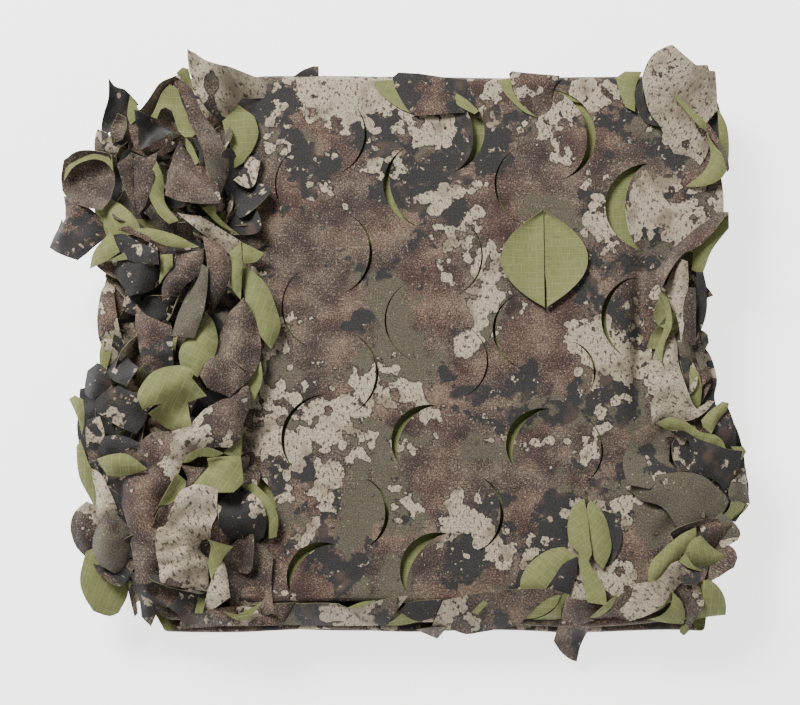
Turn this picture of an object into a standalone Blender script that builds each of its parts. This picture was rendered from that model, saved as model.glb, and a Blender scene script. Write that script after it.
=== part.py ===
"""A leaf-cut camouflage net, one piece of cloth, folded back and forth into a packet that lies flat.

Frame: +X is to the viewer's right, +Y away from the viewer, +Z up. The origin is on the surface under
the middle of the packet. Sizes, tables and the functions below are in millimetres; meshes are in metres.
"""

import math

import bmesh
import bpy
from mathutils import Matrix, Vector, noise

MM = 0.001
SOLVER = "MANIFOLD"  # many thin solids cross here at once

# The cloth and its layers
CLOTH = 1.6  # thickness of a layer
LAYERS = 10
PITCH = 5.5  # from one layer's middle to the next
TURN_ANGLES = (45, 90, 135)
WRAP_RADIUS = 7.0  # the top layer's end rolls down over the back folds
WRAP_ANGLES = (30, 60, 90)
WRAP_DROP = 9.0
BACK_FREE_END = 160.0  # the bottom layer's own end, under the packet

# Where the folds lie, from the bottom up, and how far each one wanders along its length
FRONT_FOLDS = (  # y, sway
    (-172, 4.0),
    (-178, 5.0),
    (-181, 6.0),
    (-176, 5.0),
    (-165, 3.0),
)
BACK_FOLDS = (  # y, sway
    (168, 5.0),
    (173, 4.0),
    (171, 6.0),
    (165, 4.0),
)
TOP_BACK = (171, 3.0)  # y, sway of the rolled back edge
SWAY_LENGTH = 95.0

# Channels of the smooth noise, one for each thing that it makes uneven
FRONT_NOISE, BACK_NOISE, TOP_BACK_NOISE, PANEL_NOISE = 20, 30, 40, 50
NOISE_STEP = 7.37

# The packet's two leafy sides, seen from above
LEFT_SIDE = (  # y, x
    (-185, -160),
    (-140, -196),
    (-60, -202),
    (10, -194),
    (80, -206),
    (140, -198),
    (185, -164),
)
RIGHT_SIDE = (  # y, x
    (-185, 196),
    (-130, 212),
    (-60, 208),
    (20, 197),
    (100, 207),
    (185, 200),
)
LOBE = 62.0  # from one cut leaf at a layer's edge to the next
LOBE_DEPTH = 13.0
LOBE_STAGGER, LOBE_DRIFT = 0.5, 0.17  # how lobes shift from layer to layer, as shares of a lobe
LOBE_FULLNESS = 0.7  # 1 is a sine's shape, less is fuller
LAYER_INSET = (4, 11, 2, 9, 0, 6, 12, 3, 9, 5)  # how far each layer's side stands back

# The layers spread apart and rise towards the sides
LEFT_RISE_FROM, LEFT_RISE_TO, LEFT_RISE = -80.0, -135.0, 20.0
RIGHT_RISE_FROM, RIGHT_RISE_TO, RIGHT_RISE = 148.0, 178.0, 9.0
RISE_WANDER = 1.4  # how uneven that rise is from layer to layer
RISE_LEAST = 0.1  # the least that a layer rises, as a share of the mean
RISE_LENGTH = 60.0
PANEL_WAVE, PANEL_WAVE_LENGTH = 1.5, 120.0

# Rows and columns of the cloth's mesh
ROWS_LOW, ROWS_HIGH, HIGH_FROM = 7, 15, 6  # steps along a lower and an upper layer
LEFT_PANEL, RIGHT_PANEL = -88.0, 152.0
LEFT_SHARES = (0.0, 0.18, 0.55, 1.0)  # from the left edge to the panel
PANEL_COLUMNS = (30.0,)
RIGHT_SHARES = (0.0, 0.5, 1.0)  # from the panel to the right edge

# Cut crescents that stand open in the top layer: the bulge points left (-1) or right (+1)
CRESCENTS = (  # x and y of the bulge, chord, bulge, open width, side, turn in degrees
    (134, 96, 52, 21, 12.0, -1, 0),
    (56, 147, 50, 18, 7.5, +1, 0),
    (130, 149, 48, 16, 5.0, +1, 0),
    (-6, 93, 52, 18, 4.5, -1, 0),
    (-5, 160, 26, 7, 6.5, -1, 35),
    (74, 161, 26, 7, 6.0, -1, 38),
    (143, 162, 26, 6, 5.5, -1, 0),
    (-78, -105, 48, 14, 7.0, +1, 0),
    (-4, -52, 44, 15, 4.5, -1, -30),
    (70, -55, 44, 14, 4.5, -1, -30),
    (-66, -137, 34, 10, 5.0, -1, -45),
    (4, -134, 40, 13, 6.0, -1, -35),
    (80, -138, 40, 12, 9.0, -1, -50),
    (131, 22, 42, 12, 4.3, -1, -10),
    (-44, 12, 50, 17, 4.3, +1, 0),
    (58, 25, 44, 14, 4.3, -1, 0),
)
ARC_STEPS = 6
CUT_BELOW, CUT_ABOVE = 3.5, 12.0  # from the top of the top layer

# Leaves that the cutting frees. Each is rooted in the top layer and stands, lies or hangs from it.
LEAVES = (  # x, y of its middle, length, width, heading, pitch, roll, bend, cup in degrees
    # the left side, from the back forward
    (-122, 175, 52, 28, 129, 24, 0, -20, 25),
    (-180, 150, 58, 32, 108, 16, 10, 20, 30),
    (-150, 146, 54, 42, 82, 40, 0, 60, 50),
    (-195, 106, 52, 38, 170, 16, 0, 20, 20),
    (-199, 76, 54, 40, 200, 8, 0, 20, 25),
    (-133, 112, 48, 34, 62, 36, 20, 30, 30),
    (-104, 138, 52, 26, 282, 7, 0, 10, 20),
    (-152, 68, 46, 15, 5, 16, 40, 20, 20),
    (-170, 52, 44, 34, 262, 20, -15, 30, 25),
    (-134, 45, 54, 40, 330, 14, 10, 25, 30),
    (-94, 26, 54, 28, 292, 4, 0, 10, 20),
    (-130, 0, 44, 26, 76, 34, 20, 20, 30),
    (-158, 5, 48, 28, 96, 38, -20, 25, 30),
    (-146, -36, 44, 40, 182, 20, 0, 30, 20),
    (-186, -32, 44, 34, 204, 6, 0, 25, 25),
    (-160, -98, 86, 44, 262, 18, 10, 34, 50),
    (-119, -82, 36, 28, 204, 16, 0, 20, 20),
    (-197, -122, 44, 34, 216, -4, 0, 20, 25),
    (-184, -150, 52, 32, 258, -12, 0, 25, 20),
    (-136, -128, 62, 40, 254, 14, -10, 20, 30),
    (-152, -166, 44, 26, 252, -8, 0, 25, 20),
    (-118, -154, 40, 28, 238, 9, 0, 20, 20),
    # the right side, from the back forward
    (180, 154, 84, 48, 100, 8, 0, 16, 25),
    (197, 136, 60, 20, 288, 8, 20, 16, 20),
    (188, 72, 44, 16, 92, 10, 20, 20, 20),
    (174, -10, 74, 26, 268, 9, 38, 20, 30),
    (168, -68, 52, 34, 200, 10, 0, 20, 25),
    (204, -58, 42, 30, 292, 8, 0, 25, 25),
    (206, -98, 34, 20, 292, 4, 0, 20, 20),
    (186, -94, 72, 32, 358, 5, 0, 20, 30),
    (188, -133, 44, 22, 326, 8, 0, 20, 20),
    (170, -154, 54, 36, 282, 6, 0, 24, 30),
    # the front edge and the panel
    (111, -175, 46, 26, 256, -14, 0, 24, 20),
    (116, -115, 40, 14, 98, 8, 0, 16, 20),
    (129, -118, 48, 14, 84, 8, 0, 16, 20),
)
LEAF_CLOTH = 1.2
LEAF_COLUMNS, LEAF_ROWS = 4, 2
LEAF_TIP = 0.07  # width of a tip, as a share of the leaf's
LEAF_ROOT = 0.5  # width where the leaf leaves the cloth
LEAF_MIDDLE = 0.42  # where along the leaf it is widest
LEAF_BELLY = 0.72  # how full the outline is: 1 is a lens, less is rounder
ROOT_DEPTH = 2.5  # a root ends this far under the top of the top layer

# The round leaf that lies folded out on the panel, on its own middle line
ROUND_LEAF = (93, 60, 62, 55)  # x, y, length, width
ROUND_LEAF_CUP = 34.0
ROUND_LEAF_SINK = 0.5  # how far its underside is let into the panel

HIGH_OVER = 1.0  # metres over the surface, from where heights are probed

CLOTH_COLOUR = (0.17, 0.14, 0.10, 1.0)
CLOTH_ROUGHNESS = 0.85


def ease(value):
    """Smooth step of value held between 0 and 1."""
    t = min(1.0, max(0.0, value))
    return t * t * (3 - 2 * t)


def along(table, at):
    """Reads a table of (position, value) rows at a position, smoothly between its rows."""
    if at <= table[0][0]:
        return table[0][1]
    for (p0, v0), (p1, v1) in zip(table, table[1:]):
        if at <= p1:
            return v0 + (v1 - v0) * ease((at - p0) / (p1 - p0))
    return table[-1][1]


def wander(channel, a, b=0.0):
    """Smooth noise from -1 to 1, the same on each run. Channels are cut from it far apart."""
    return noise.noise(Vector((a, b, NOISE_STEP * channel)))


def fold_y(fold, channel, x):
    """Where a fold lies at x."""
    y, sway = fold
    return y + sway * wander(channel, x / SWAY_LENGTH)


def front_y(layer, x):
    """The front end of a layer's flat part."""
    return fold_y(FRONT_FOLDS[layer // 2], FRONT_NOISE + layer // 2, x)


def back_y(layer, x):
    """The back end of a layer's flat part."""
    if layer == 0:
        return BACK_FREE_END
    if layer == LAYERS - 1:
        return fold_y(TOP_BACK, TOP_BACK_NOISE, x)
    return fold_y(BACK_FOLDS[(layer - 1) // 2], BACK_NOISE + (layer - 1) // 2, x)


def layer_z(layer, x, y):
    """Height of a layer's middle: each layer lies a little further up than the one below, more at the sides."""
    left = ease((x - LEFT_RISE_FROM) / (LEFT_RISE_TO - LEFT_RISE_FROM)) * LEFT_RISE
    right = ease((x - RIGHT_RISE_FROM) / (RIGHT_RISE_TO - RIGHT_RISE_FROM)) * RIGHT_RISE
    share = 1 / (LAYERS - 1)
    z = CLOTH / 2
    for k in range(1, layer + 1):
        uneven = 1 + RISE_WANDER * wander(k, x / RISE_LENGTH, y / RISE_LENGTH)
        z += PITCH + (left + right) * share * max(RISE_LEAST, uneven)
    wave = wander(PANEL_NOISE, x / PANEL_WAVE_LENGTH, y / PANEL_WAVE_LENGTH)
    return z + PANEL_WAVE * layer * share * wave


def side_x(layer, y, table, sign):
    """The edge of a layer at y, with the cut leaves of its edge as lobes. sign is -1 on the left."""
    phase = LOBE * (LOBE_STAGGER * (layer % 2) + LOBE_DRIFT * layer)
    lobe = abs(math.sin(math.pi * (y - phase) / LOBE)) ** LOBE_FULLNESS
    return along(table, y) - sign * (LAYER_INSET[layer] + LOBE_DEPTH * (1 - lobe))


def stations():
    """The rows of the cloth from its bottom end to its top end, as (kind, layer, place along it)."""
    rows = []
    for layer in range(LAYERS):
        steps = ROWS_HIGH if layer >= HIGH_FROM else ROWS_LOW
        rows += [("flat", layer, i / steps) for i in range(steps + 1)]
        if layer < LAYERS - 1:
            rows += [("turn", layer, angle) for angle in TURN_ANGLES]
    rows += [("wrap", LAYERS - 1, angle) for angle in WRAP_ANGLES]
    rows.append(("drop", LAYERS - 1, WRAP_DROP))
    return rows


def columns(left, right):
    """x of each column of the cloth between its two edges."""
    xs = [left + (LEFT_PANEL - left) * share for share in LEFT_SHARES]
    xs += list(PANEL_COLUMNS)
    return xs + [RIGHT_PANEL + (right - RIGHT_PANEL) * share for share in RIGHT_SHARES]


def cloth_point(row, column):
    """A point of the folded cloth's middle surface."""
    kind, layer, place = row
    forward = layer % 2 == 0  # even layers run from the back to the front
    rough_y = front_y(layer, 0) if forward else back_y(layer, 0)
    if kind == "flat":
        ends = (back_y(layer, 0), front_y(layer, 0))
        first, last = ends if forward else ends[::-1]
        rough_y = first + (last - first) * place
    above = min(layer + 1, LAYERS - 1)
    share = (1 - math.cos(math.radians(place))) / 2 if kind == "turn" else 0.0
    left, right = (
        side_x(layer, rough_y, table, sign) * (1 - share) + side_x(above, rough_y, table, sign) * share
        for table, sign in ((LEFT_SIDE, -1), (RIGHT_SIDE, 1))
    )
    x = columns(left, right)[column]
    ends = (back_y(layer, x), front_y(layer, x))
    first, last = ends if forward else ends[::-1]
    out = -1 if forward else 1
    if kind == "flat":
        y = first + (last - first) * place
        return Vector((x, y, layer_z(layer, x, y)))
    if kind == "turn":
        low, high = layer_z(layer, x, last), layer_z(above, x, last)
        reach = math.sin(math.radians(place)) * PITCH / 2
        return Vector((x, last + out * reach, low + (high - low) * share))
    top = layer_z(layer, x, last)
    if kind == "wrap":
        angle = math.radians(place)
        return Vector((x, last + WRAP_RADIUS * math.sin(angle), top - WRAP_RADIUS * (1 - math.cos(angle))))
    return Vector((x, last + WRAP_RADIUS, top - WRAP_RADIUS - place))


def new_object(name, bm):
    """A shown object from a bmesh that holds millimetres."""
    bmesh.ops.scale(bm, vec=(MM, MM, MM), verts=bm.verts)
    mesh = bpy.data.meshes.new(name)
    bm.to_mesh(mesh)
    bm.free()
    obj = bpy.data.objects.new(name, mesh)
    bpy.context.scene.collection.objects.link(obj)
    return obj


def bake(obj):
    """Replaces an object's mesh with the mesh that its modifiers make."""
    graph = bpy.context.evaluated_depsgraph_get()
    mesh = bpy.data.meshes.new_from_object(obj.evaluated_get(graph))
    obj.modifiers.clear()
    obj.data = mesh


def thicken(obj, thickness):
    """Gives a surface its cloth's thickness, half to each side."""
    solidify = obj.modifiers.new("cloth", "SOLIDIFY")
    solidify.thickness = thickness * MM
    solidify.offset = 0.0
    bake(obj)


def fill_pockets(obj):
    """Makes solid the sealed pockets left where leaves cross, whose walls face inwards, and makes triangles."""
    bm = bmesh.new()
    bm.from_mesh(obj.data)
    left = set(bm.faces)
    while left:
        shell, edge = set(), [left.pop()]
        while edge:
            face = edge.pop()
            shell.add(face)
            near = {f for e in face.edges for f in e.link_faces} & left
            left -= near
            edge += near
        volume = sum(f.calc_center_median().dot(f.normal) * f.calc_area() for f in shell)
        if volume < 0:
            bmesh.ops.delete(bm, geom=list(shell), context="FACES")
    bmesh.ops.triangulate(bm, faces=bm.faces)
    bm.to_mesh(obj.data)
    bm.free()


def combine(obj, others, operation):
    """Joins other solids to an object in one go, or cuts them away, and removes them."""
    group = bpy.data.collections.new("others")
    bpy.context.scene.collection.children.link(group)
    for other in others:
        group.objects.link(other)
    boolean = obj.modifiers.new("combine", "BOOLEAN")
    boolean.operation = operation
    boolean.solver = SOLVER
    boolean.operand_type = "COLLECTION"
    boolean.collection = group
    bpy.context.view_layer.update()
    bake(obj)
    for other in others:
        bpy.data.objects.remove(other)
    bpy.data.collections.remove(group)


def folded_cloth():
    """The whole cloth as one back-and-forth section of its layers."""
    rows = stations()
    count = len(columns(0, 0))
    bm = bmesh.new()
    bmesh.ops.create_grid(bm, x_segments=count - 1, y_segments=len(rows) - 1, size=1.0)
    for vert in bm.verts:
        column = round((vert.co.x + 1) / 2 * (count - 1))
        row = round((vert.co.y + 1) / 2 * (len(rows) - 1))
        vert.co = cloth_point(rows[row], column)
    net = new_object("net", bm)
    thicken(net, CLOTH)
    return net


def top_of(net, x, y):
    """Height of the cloth's upper surface."""
    above = Vector((x * MM, y * MM, HIGH_OVER))
    hit, place, _, _ = net.ray_cast(above, Vector((0, 0, -1)))
    if not hit:
        raise ValueError(f"no cloth under {x:.0f}, {y:.0f}")
    return place.z / MM


def crescent_cutter(net, x, y, chord, bulge, width, side, turn):
    """A prism over one open crescent: the outline runs out along the cut edge and back along the leaf's edge."""

    def arc(sagitta):
        radius = (chord * chord / 4 + sagitta * sagitta) / (2 * sagitta)
        half = math.asin(min(1.0, chord / 2 / radius))
        angles = [half * (2 * i / ARC_STEPS - 1) for i in range(ARC_STEPS + 1)]
        return [(radius * math.cos(a) - radius + sagitta, radius * math.sin(a)) for a in angles]

    outline = arc(bulge) + arc(bulge - width)[-2:0:-1]
    spin = Matrix.Rotation(math.radians(turn), 3, "Z")
    floor = top_of(net, x, y) - CUT_BELOW
    bm = bmesh.new()
    verts = []
    for u, v in outline:
        flat = spin @ Vector((side * (u - bulge), v, 0))
        verts.append(bm.verts.new((x + flat.x, y + flat.y, floor)))
    face = bm.faces.new(verts)
    prism = bmesh.ops.extrude_face_region(bm, geom=[face])
    lifted = [item for item in prism["geom"] if isinstance(item, bmesh.types.BMVert)]
    bmesh.ops.translate(bm, vec=(0, 0, CUT_BELOW + CUT_ABOVE), verts=lifted)
    bmesh.ops.recalc_face_normals(bm, faces=bm.faces)
    return new_object("cutter", bm)


def leaf_share(s, root):
    """Width of a leaf at s from its root, 0, to its tip, 1, as a share of its widest."""
    if s < LEAF_MIDDLE:
        near = (LEAF_MIDDLE - s) / LEAF_MIDDLE
        return root + (1 - root) * max(0.0, 1 - near * near) ** LEAF_BELLY
    far = (s - LEAF_MIDDLE) / (1 - LEAF_MIDDLE)
    return max(LEAF_TIP, max(0.0, 1 - far * far) ** LEAF_BELLY)


def leaf_surface(length, width, bend, cup, root=LEAF_ROOT):
    """A leaf from its root at the origin along +X, curled along its length and cupped across it."""
    bm = bmesh.new()
    bmesh.ops.create_grid(bm, x_segments=LEAF_COLUMNS, y_segments=LEAF_ROWS, size=1.0)
    bend, cup = math.radians(bend), math.radians(cup)
    for vert in bm.verts:
        s = (vert.co.x + 1) / 2
        across = vert.co.y * leaf_share(s, root) * width / 2
        lean = across * 2 / width * cup
        up = width / 2 / cup * (1 - math.cos(lean))
        curl = s * bend
        run = length / bend * math.sin(curl) if bend else length * s
        fall = length / bend * (1 - math.cos(curl)) if bend else 0.0
        vert.co = Vector((run + up * math.sin(curl), across * math.cos(lean / 2), up * math.cos(curl) - fall))
    return bm


def place_leaf(bm, place):
    """A leaf's solid from its surface, put in its place."""
    bmesh.ops.transform(bm, matrix=place, verts=bm.verts)
    obj = new_object("leaf", bm)
    thicken(obj, LEAF_CLOTH)
    return obj


def leaf(net, x, y, length, width, heading, pitch, roll, bend, cup):
    """A leaf whose middle lies over x, y and whose root is in the top layer."""
    way = math.radians(heading)
    half = length / 2 * math.cos(math.radians(pitch))
    root_x, root_y = x - half * math.cos(way), y - half * math.sin(way)
    root_z = top_of(net, root_x, root_y) - ROOT_DEPTH
    turn = Matrix.Rotation(way, 4, "Z") @ Matrix.Rotation(-math.radians(pitch), 4, "Y")
    turn @= Matrix.Rotation(math.radians(roll), 4, "X")
    return place_leaf(leaf_surface(length, width, bend, cup), Matrix.Translation((root_x, root_y, root_z)) @ turn)


def round_leaf(net):
    """The leaf that lies folded out on the panel: its middle line is let into the cloth and its edges stand up."""
    x, y, length, width = ROUND_LEAF
    z = top_of(net, x, y) + LEAF_CLOTH / 2 - ROUND_LEAF_SINK
    turn = Matrix.Rotation(math.radians(90), 4, "Z")
    bm = leaf_surface(length, width, 0.0, ROUND_LEAF_CUP, root=LEAF_TIP)
    return place_leaf(bm, Matrix.Translation((x, y - length / 2, z)) @ turn)


def cloth_material():
    """Printed woven polyester, matt."""
    material = bpy.data.materials.new("printed_ripstop")
    material.use_nodes = True
    shader = material.node_tree.nodes["Principled BSDF"]
    shader.inputs["Base Color"].default_value = CLOTH_COLOUR
    shader.inputs["Roughness"].default_value = CLOTH_ROUGHNESS
    shader.inputs["Metallic"].default_value = 0.0
    return material


def main():
    """Builds the net."""
    for obj in list(bpy.data.objects):
        bpy.data.objects.remove(obj)
    net = folded_cloth()
    cutters = [crescent_cutter(net, *row) for row in CRESCENTS]
    leaves = [leaf(net, *row) for row in LEAVES] + [round_leaf(net)]
    combine(net, cutters, "DIFFERENCE")
    combine(net, leaves, "UNION")
    fill_pockets(net)
    net.data.materials.clear()
    net.data.materials.append(cloth_material())


main()
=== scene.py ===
"""The dressed camouflage net: one printed ripstop cloth, cut into leaves and folded back and forth.

Frame: +X is to the viewer's right, +Y away from the viewer, +Z up, the origin on the surface under the
middle of the packet. Tables and functions hold millimetres and degrees; meshes are in metres.
"""

import logging
import math
import random
from dataclasses import dataclass
from enum import Enum
from typing import Callable

import bmesh
import bpy
from mathutils import Matrix, Vector, geometry, noise


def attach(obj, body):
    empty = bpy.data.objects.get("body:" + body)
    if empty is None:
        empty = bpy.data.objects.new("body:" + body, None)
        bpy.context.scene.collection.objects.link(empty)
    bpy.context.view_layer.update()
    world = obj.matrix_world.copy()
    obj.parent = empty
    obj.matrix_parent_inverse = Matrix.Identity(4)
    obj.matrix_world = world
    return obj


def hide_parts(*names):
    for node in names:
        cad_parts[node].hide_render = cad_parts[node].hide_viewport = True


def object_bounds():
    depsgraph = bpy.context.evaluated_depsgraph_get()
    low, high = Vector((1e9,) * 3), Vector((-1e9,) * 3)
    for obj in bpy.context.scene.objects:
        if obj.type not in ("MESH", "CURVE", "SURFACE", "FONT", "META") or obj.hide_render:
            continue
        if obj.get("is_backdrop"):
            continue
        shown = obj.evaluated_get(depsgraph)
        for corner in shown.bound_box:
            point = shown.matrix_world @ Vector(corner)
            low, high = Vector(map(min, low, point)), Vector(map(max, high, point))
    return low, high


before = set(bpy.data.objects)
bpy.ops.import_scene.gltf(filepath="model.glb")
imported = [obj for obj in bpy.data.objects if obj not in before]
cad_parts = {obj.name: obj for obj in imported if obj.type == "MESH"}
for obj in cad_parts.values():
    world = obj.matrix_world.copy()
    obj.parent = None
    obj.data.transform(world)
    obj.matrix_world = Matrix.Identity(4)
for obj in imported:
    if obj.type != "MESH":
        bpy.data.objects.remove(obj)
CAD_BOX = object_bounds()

Mesh = bmesh.types.BMesh
Piece = bpy.types.Object
Material = bpy.types.Material
Tree = bpy.types.NodeTree
Socket = bpy.types.NodeSocket

MM = 0.001
CLOTH = 0.4  # thickness; real ripstop has about 0.15, too thin for its cut edge to show
TALLEST = 103.5  # no leaf stands higher
WHITE = (1.0, 1.0, 1.0, 1.0)
log = logging.getLogger("net")


class Face(Enum):
    """Which face of a leaf is seen from above."""

    PRINT = 1
    GREEN = -1


class Patch(Enum):
    """The part of the print that a leaf was cut from, as its pull to pale, dark and olive ground."""

    MIXED = (0.0, 0.0, 0.0)
    BROWN = (-0.7, -0.8, -1.0)
    PALE = (1.9, -0.8, -1.2)
    DARK = (-0.7, 2.1, -0.8)
    OLIVE = (-0.6, -0.8, 1.3)


# ---------------------------------------------------------------- small helpers


def ease(value: float) -> float:
    """Smooth step of value held between 0 and 1."""
    t = min(1.0, max(0.0, value))
    return t * t * (3 - 2 * t)


def along(table: tuple, at: float) -> float:
    """Reads a table of (position, value) rows smoothly.

    Args:
        table: rows in rising order of position.
        at: the position to read.

    Returns:
        The value there, held at the first and last rows' values outside them.
    """
    if at <= table[0][0]:
        return table[0][1]
    for (p0, v0), (p1, v1) in zip(table, table[1:]):
        if at <= p1:
            return v0 + (v1 - v0) * ease((at - p0) / (p1 - p0))
    return table[-1][1]


def wander(channel: int, a: float, b: float = 0.0) -> float:
    """Smooth noise from -1 to 1, the same on each run. Channels are cut from it far apart."""
    return noise.noise(Vector((a, b, 7.37 * channel)))


def linear(colour: str) -> tuple:
    """Turns an sRGB hex colour into linear RGBA.

    Args:
        colour: six hex digits, such as "8a7767".

    Returns:
        Red, green, blue and alpha from 0 to 1.
    """
    shares = [int(colour[i : i + 2], 16) / 255 for i in (0, 2, 4)]
    return tuple(c / 12.92 if c <= 0.04045 else ((c + 0.055) / 1.055) ** 2.4 for c in shares) + (1.0,)


def plug(tree: Tree, node: bpy.types.Node, links: dict) -> None:
    """Sets a node's inputs.

    Args:
        tree: the material's node tree.
        node: the node.
        links: what goes into its inputs, by name or number: a value, or another node's output.
    """
    for name, value in links.items():
        if isinstance(value, bpy.types.NodeSocket):
            tree.links.new(value, node.inputs[name])
        else:
            node.inputs[name].default_value = value


def add_node(tree: Tree, kind: str, links: dict = {}, **settings) -> bpy.types.Node:
    """Adds a node to a material.

    Args:
        tree: the material's node tree.
        kind: the node's type without its ShaderNode prefix.
        links: what goes into its inputs, by name or number.
        settings: the node's own options.

    Returns:
        The new node.
    """
    node = tree.nodes.new("ShaderNode" + kind)
    for name, value in settings.items():
        setattr(node, name, value)
    plug(tree, node, links)
    return node


def maths(tree: Tree, operation: str, *values: Socket | float) -> Socket:
    """A sum of two or three values in a material."""
    return add_node(tree, "Math", dict(enumerate(values)), operation=operation).outputs[0]


def remap(tree: Tree, *values: Socket | float) -> Socket:
    """Carries a value from one range to another: the value, then the two ends of each range."""
    return add_node(tree, "MapRange", dict(enumerate(values))).outputs[0]


def blend(tree: Tree, share: Socket, under: Socket | tuple, over: Socket | tuple) -> Socket:
    """Lays a share of one colour over another."""
    return add_node(tree, "Mix", {0: share, 6: under, 7: over}, data_type="RGBA").outputs[2]


def speckle(
    tree: Tree, place: Socket, size: float, detail: float = 2.0, rough: float = 0.5, warp: float = 0.0
) -> Socket:
    """Noise around 0.5 in a material.

    Args:
        tree: the material's node tree.
        place: where it is read.
        size: the size of its marks, in the units of place.
        detail: how many finer noises it holds.
        rough: how strong these are.
        warp: how far its marks are drawn out of shape.

    Returns:
        The noise.
    """
    links = {"Vector": place, "Scale": 1 / size, "Detail": detail, "Roughness": rough, "Distortion": warp}
    return add_node(tree, "TexNoise", links).outputs[0]


def new_material(name: str) -> tuple:
    """A new material, and its node tree with the default shader."""
    material = bpy.data.materials.new(name)
    material.use_nodes = True
    return material, material.node_tree


def fill_outline(bm: Mesh, points: list, edges: list, corners: int, step: float) -> tuple:
    """Fills a flat outline with an even mesh whose edges keep to the given lines.

    Bisecting can't cut an arc into a grid cleanly, so Blender's constrained triangulation lays it out.

    Args:
        bm: the mesh to add to.
        points: the outline, counter-clockwise, and then the points of the lines.
        edges: the lines, as pairs of places in points.
        corners: how many of the points are the outline.
        step: from one point of the mesh to the next.

    Returns:
        The new faces, and the mesh's edges that lie on the lines.
    """
    points, count = list(points), len(edges)
    buckets = {}
    for p in points:
        buckets.setdefault((int(p.x // step), int(p.y // step)), []).append(p)
    low = Vector((min(p.x for p in points[:corners]), min(p.y for p in points[:corners])))
    high = Vector((max(p.x for p in points[:corners]), max(p.y for p in points[:corners])))
    row = 0.87  # height of an even triangle
    around = [(a, b) for a in (-1, 0, 1) for b in (-1, 0, 1)]
    for j in range(int((high.y - low.y) / (step * row)) + 1):
        for i in range(int((high.x - low.x) / step) + 1):
            p = low + Vector(((i + 0.5 * (j % 2)) * step, j * step * row))
            cell = int(p.x // step), int(p.y // step)
            near = [q for a, b in around for q in buckets.get((cell[0] + a, cell[1] + b), ())]
            if all((p - q).length > step * 0.55 for q in near):
                points.append(p)
    loop = list(range(corners))
    spots, wires, faces, _, made_from, inside = geometry.delaunay_2d_cdt(points, edges, [loop], 0, 1e-5, True)
    verts = [bm.verts.new((p.x, p.y, 0.0)) for p in spots]
    made = [bm.faces.new([verts[i] for i in face]) for face, loops in zip(faces, inside) if loops]
    lines = [wire for wire, ids in zip(wires, made_from) if any(number < count for number in ids)]
    cut = [e for e in (bm.edges.get((verts[a], verts[b])) for a, b in lines) if e]
    bmesh.ops.delete(bm, geom=[v for v in verts if not v.link_faces], context="VERTS")
    return made, cut


# ---------------------------------------------------------------- finishes


@dataclass(frozen=True)
class Ripstop:
    """What both faces of the cloth share: plain-woven polyester with a thicker thread each 5 mm."""

    pitch: float = 5.0  # from one thick thread to the next
    thread: float = 0.24  # width of a thick thread
    strength: tuple = (0.45, 1.0)  # how plainly the lengthwise and the crosswise threads show
    yarn: float = 0.62  # the weave's slubs; real yarn is 0.2 mm, too fine to show, so it is drawn coarser
    slub: float = 7.0  # how far a slub runs along its yarn
    raised: float = 0.8  # how far a thick thread stands out, where the slubs do by 1
    bump: tuple = (0.55, 0.0004)  # the relief's strength, and its depth in metres
    roughness: float = 0.86
    sheen: tuple = (0.12, 0.5)  # the dull shine of fine fibres: how much, and how rough

    def flat(self, tree: Tree) -> Socket:
        """The cloth's own flat coordinates, in millimetres."""
        own = add_node(tree, "Attribute", attribute_name="flat").outputs["Vector"]
        return add_node(tree, "VectorMath", {0: own, 1: (1 / MM,) * 3}, operation="MULTIPLY").outputs[0]

    def threads(self, tree: Tree, flat: Socket) -> Socket:
        """Marks the thick threads.

        Args:
            tree: the material's node tree.
            flat: flat coordinates in millimetres.

        Returns:
            A value that is 1 on a thick thread and 0 between them.
        """
        axes = add_node(tree, "SeparateXYZ", {0: flat}).outputs
        marks = []
        for axis, strength in zip(axes, self.strength):
            near = maths(tree, "PINGPONG", axis, self.pitch / 2)
            marks.append(remap(tree, near, self.thread * 0.9, self.thread * 0.35, 0.0, strength))
        return maths(tree, "MAXIMUM", *marks)

    def weave(self, tree: Tree, flat: Socket) -> Socket:
        """Uneven yarns in both directions, as a value around 0.5."""
        ways = []
        for scale in ((1 / self.yarn, 1 / self.slub, 1), (1 / self.slub, 1 / self.yarn, 1)):
            run = add_node(tree, "Mapping", {"Vector": flat, "Scale": scale}).outputs[0]
            ways.append(speckle(tree, run, 1.0))
        return maths(tree, "MULTIPLY", maths(tree, "ADD", *ways), 0.5)

    def shade(self, tree: Tree, colour: Socket, threads: Socket, weave: Socket) -> None:
        """Gives the shader the colour, and the raised threads and yarns as bump.

        Args:
            tree: the material's node tree.
            colour: the face's colour.
            threads: where the thick threads run.
            weave: the uneven yarns.
        """
        height = maths(tree, "MULTIPLY_ADD", threads, self.raised, weave)
        strength, depth = self.bump
        relief = add_node(tree, "Bump", {"Strength": strength, "Distance": depth, "Height": height})
        plug(tree, tree.nodes["Principled BSDF"], {
            "Base Color": colour, "Normal": relief.outputs[0], "Roughness": self.roughness, "IOR": 1.5,
            "Specular IOR Level": 0.3, "Sheen Weight": self.sheen[0], "Sheen Roughness": self.sheen[1],
        })


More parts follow.
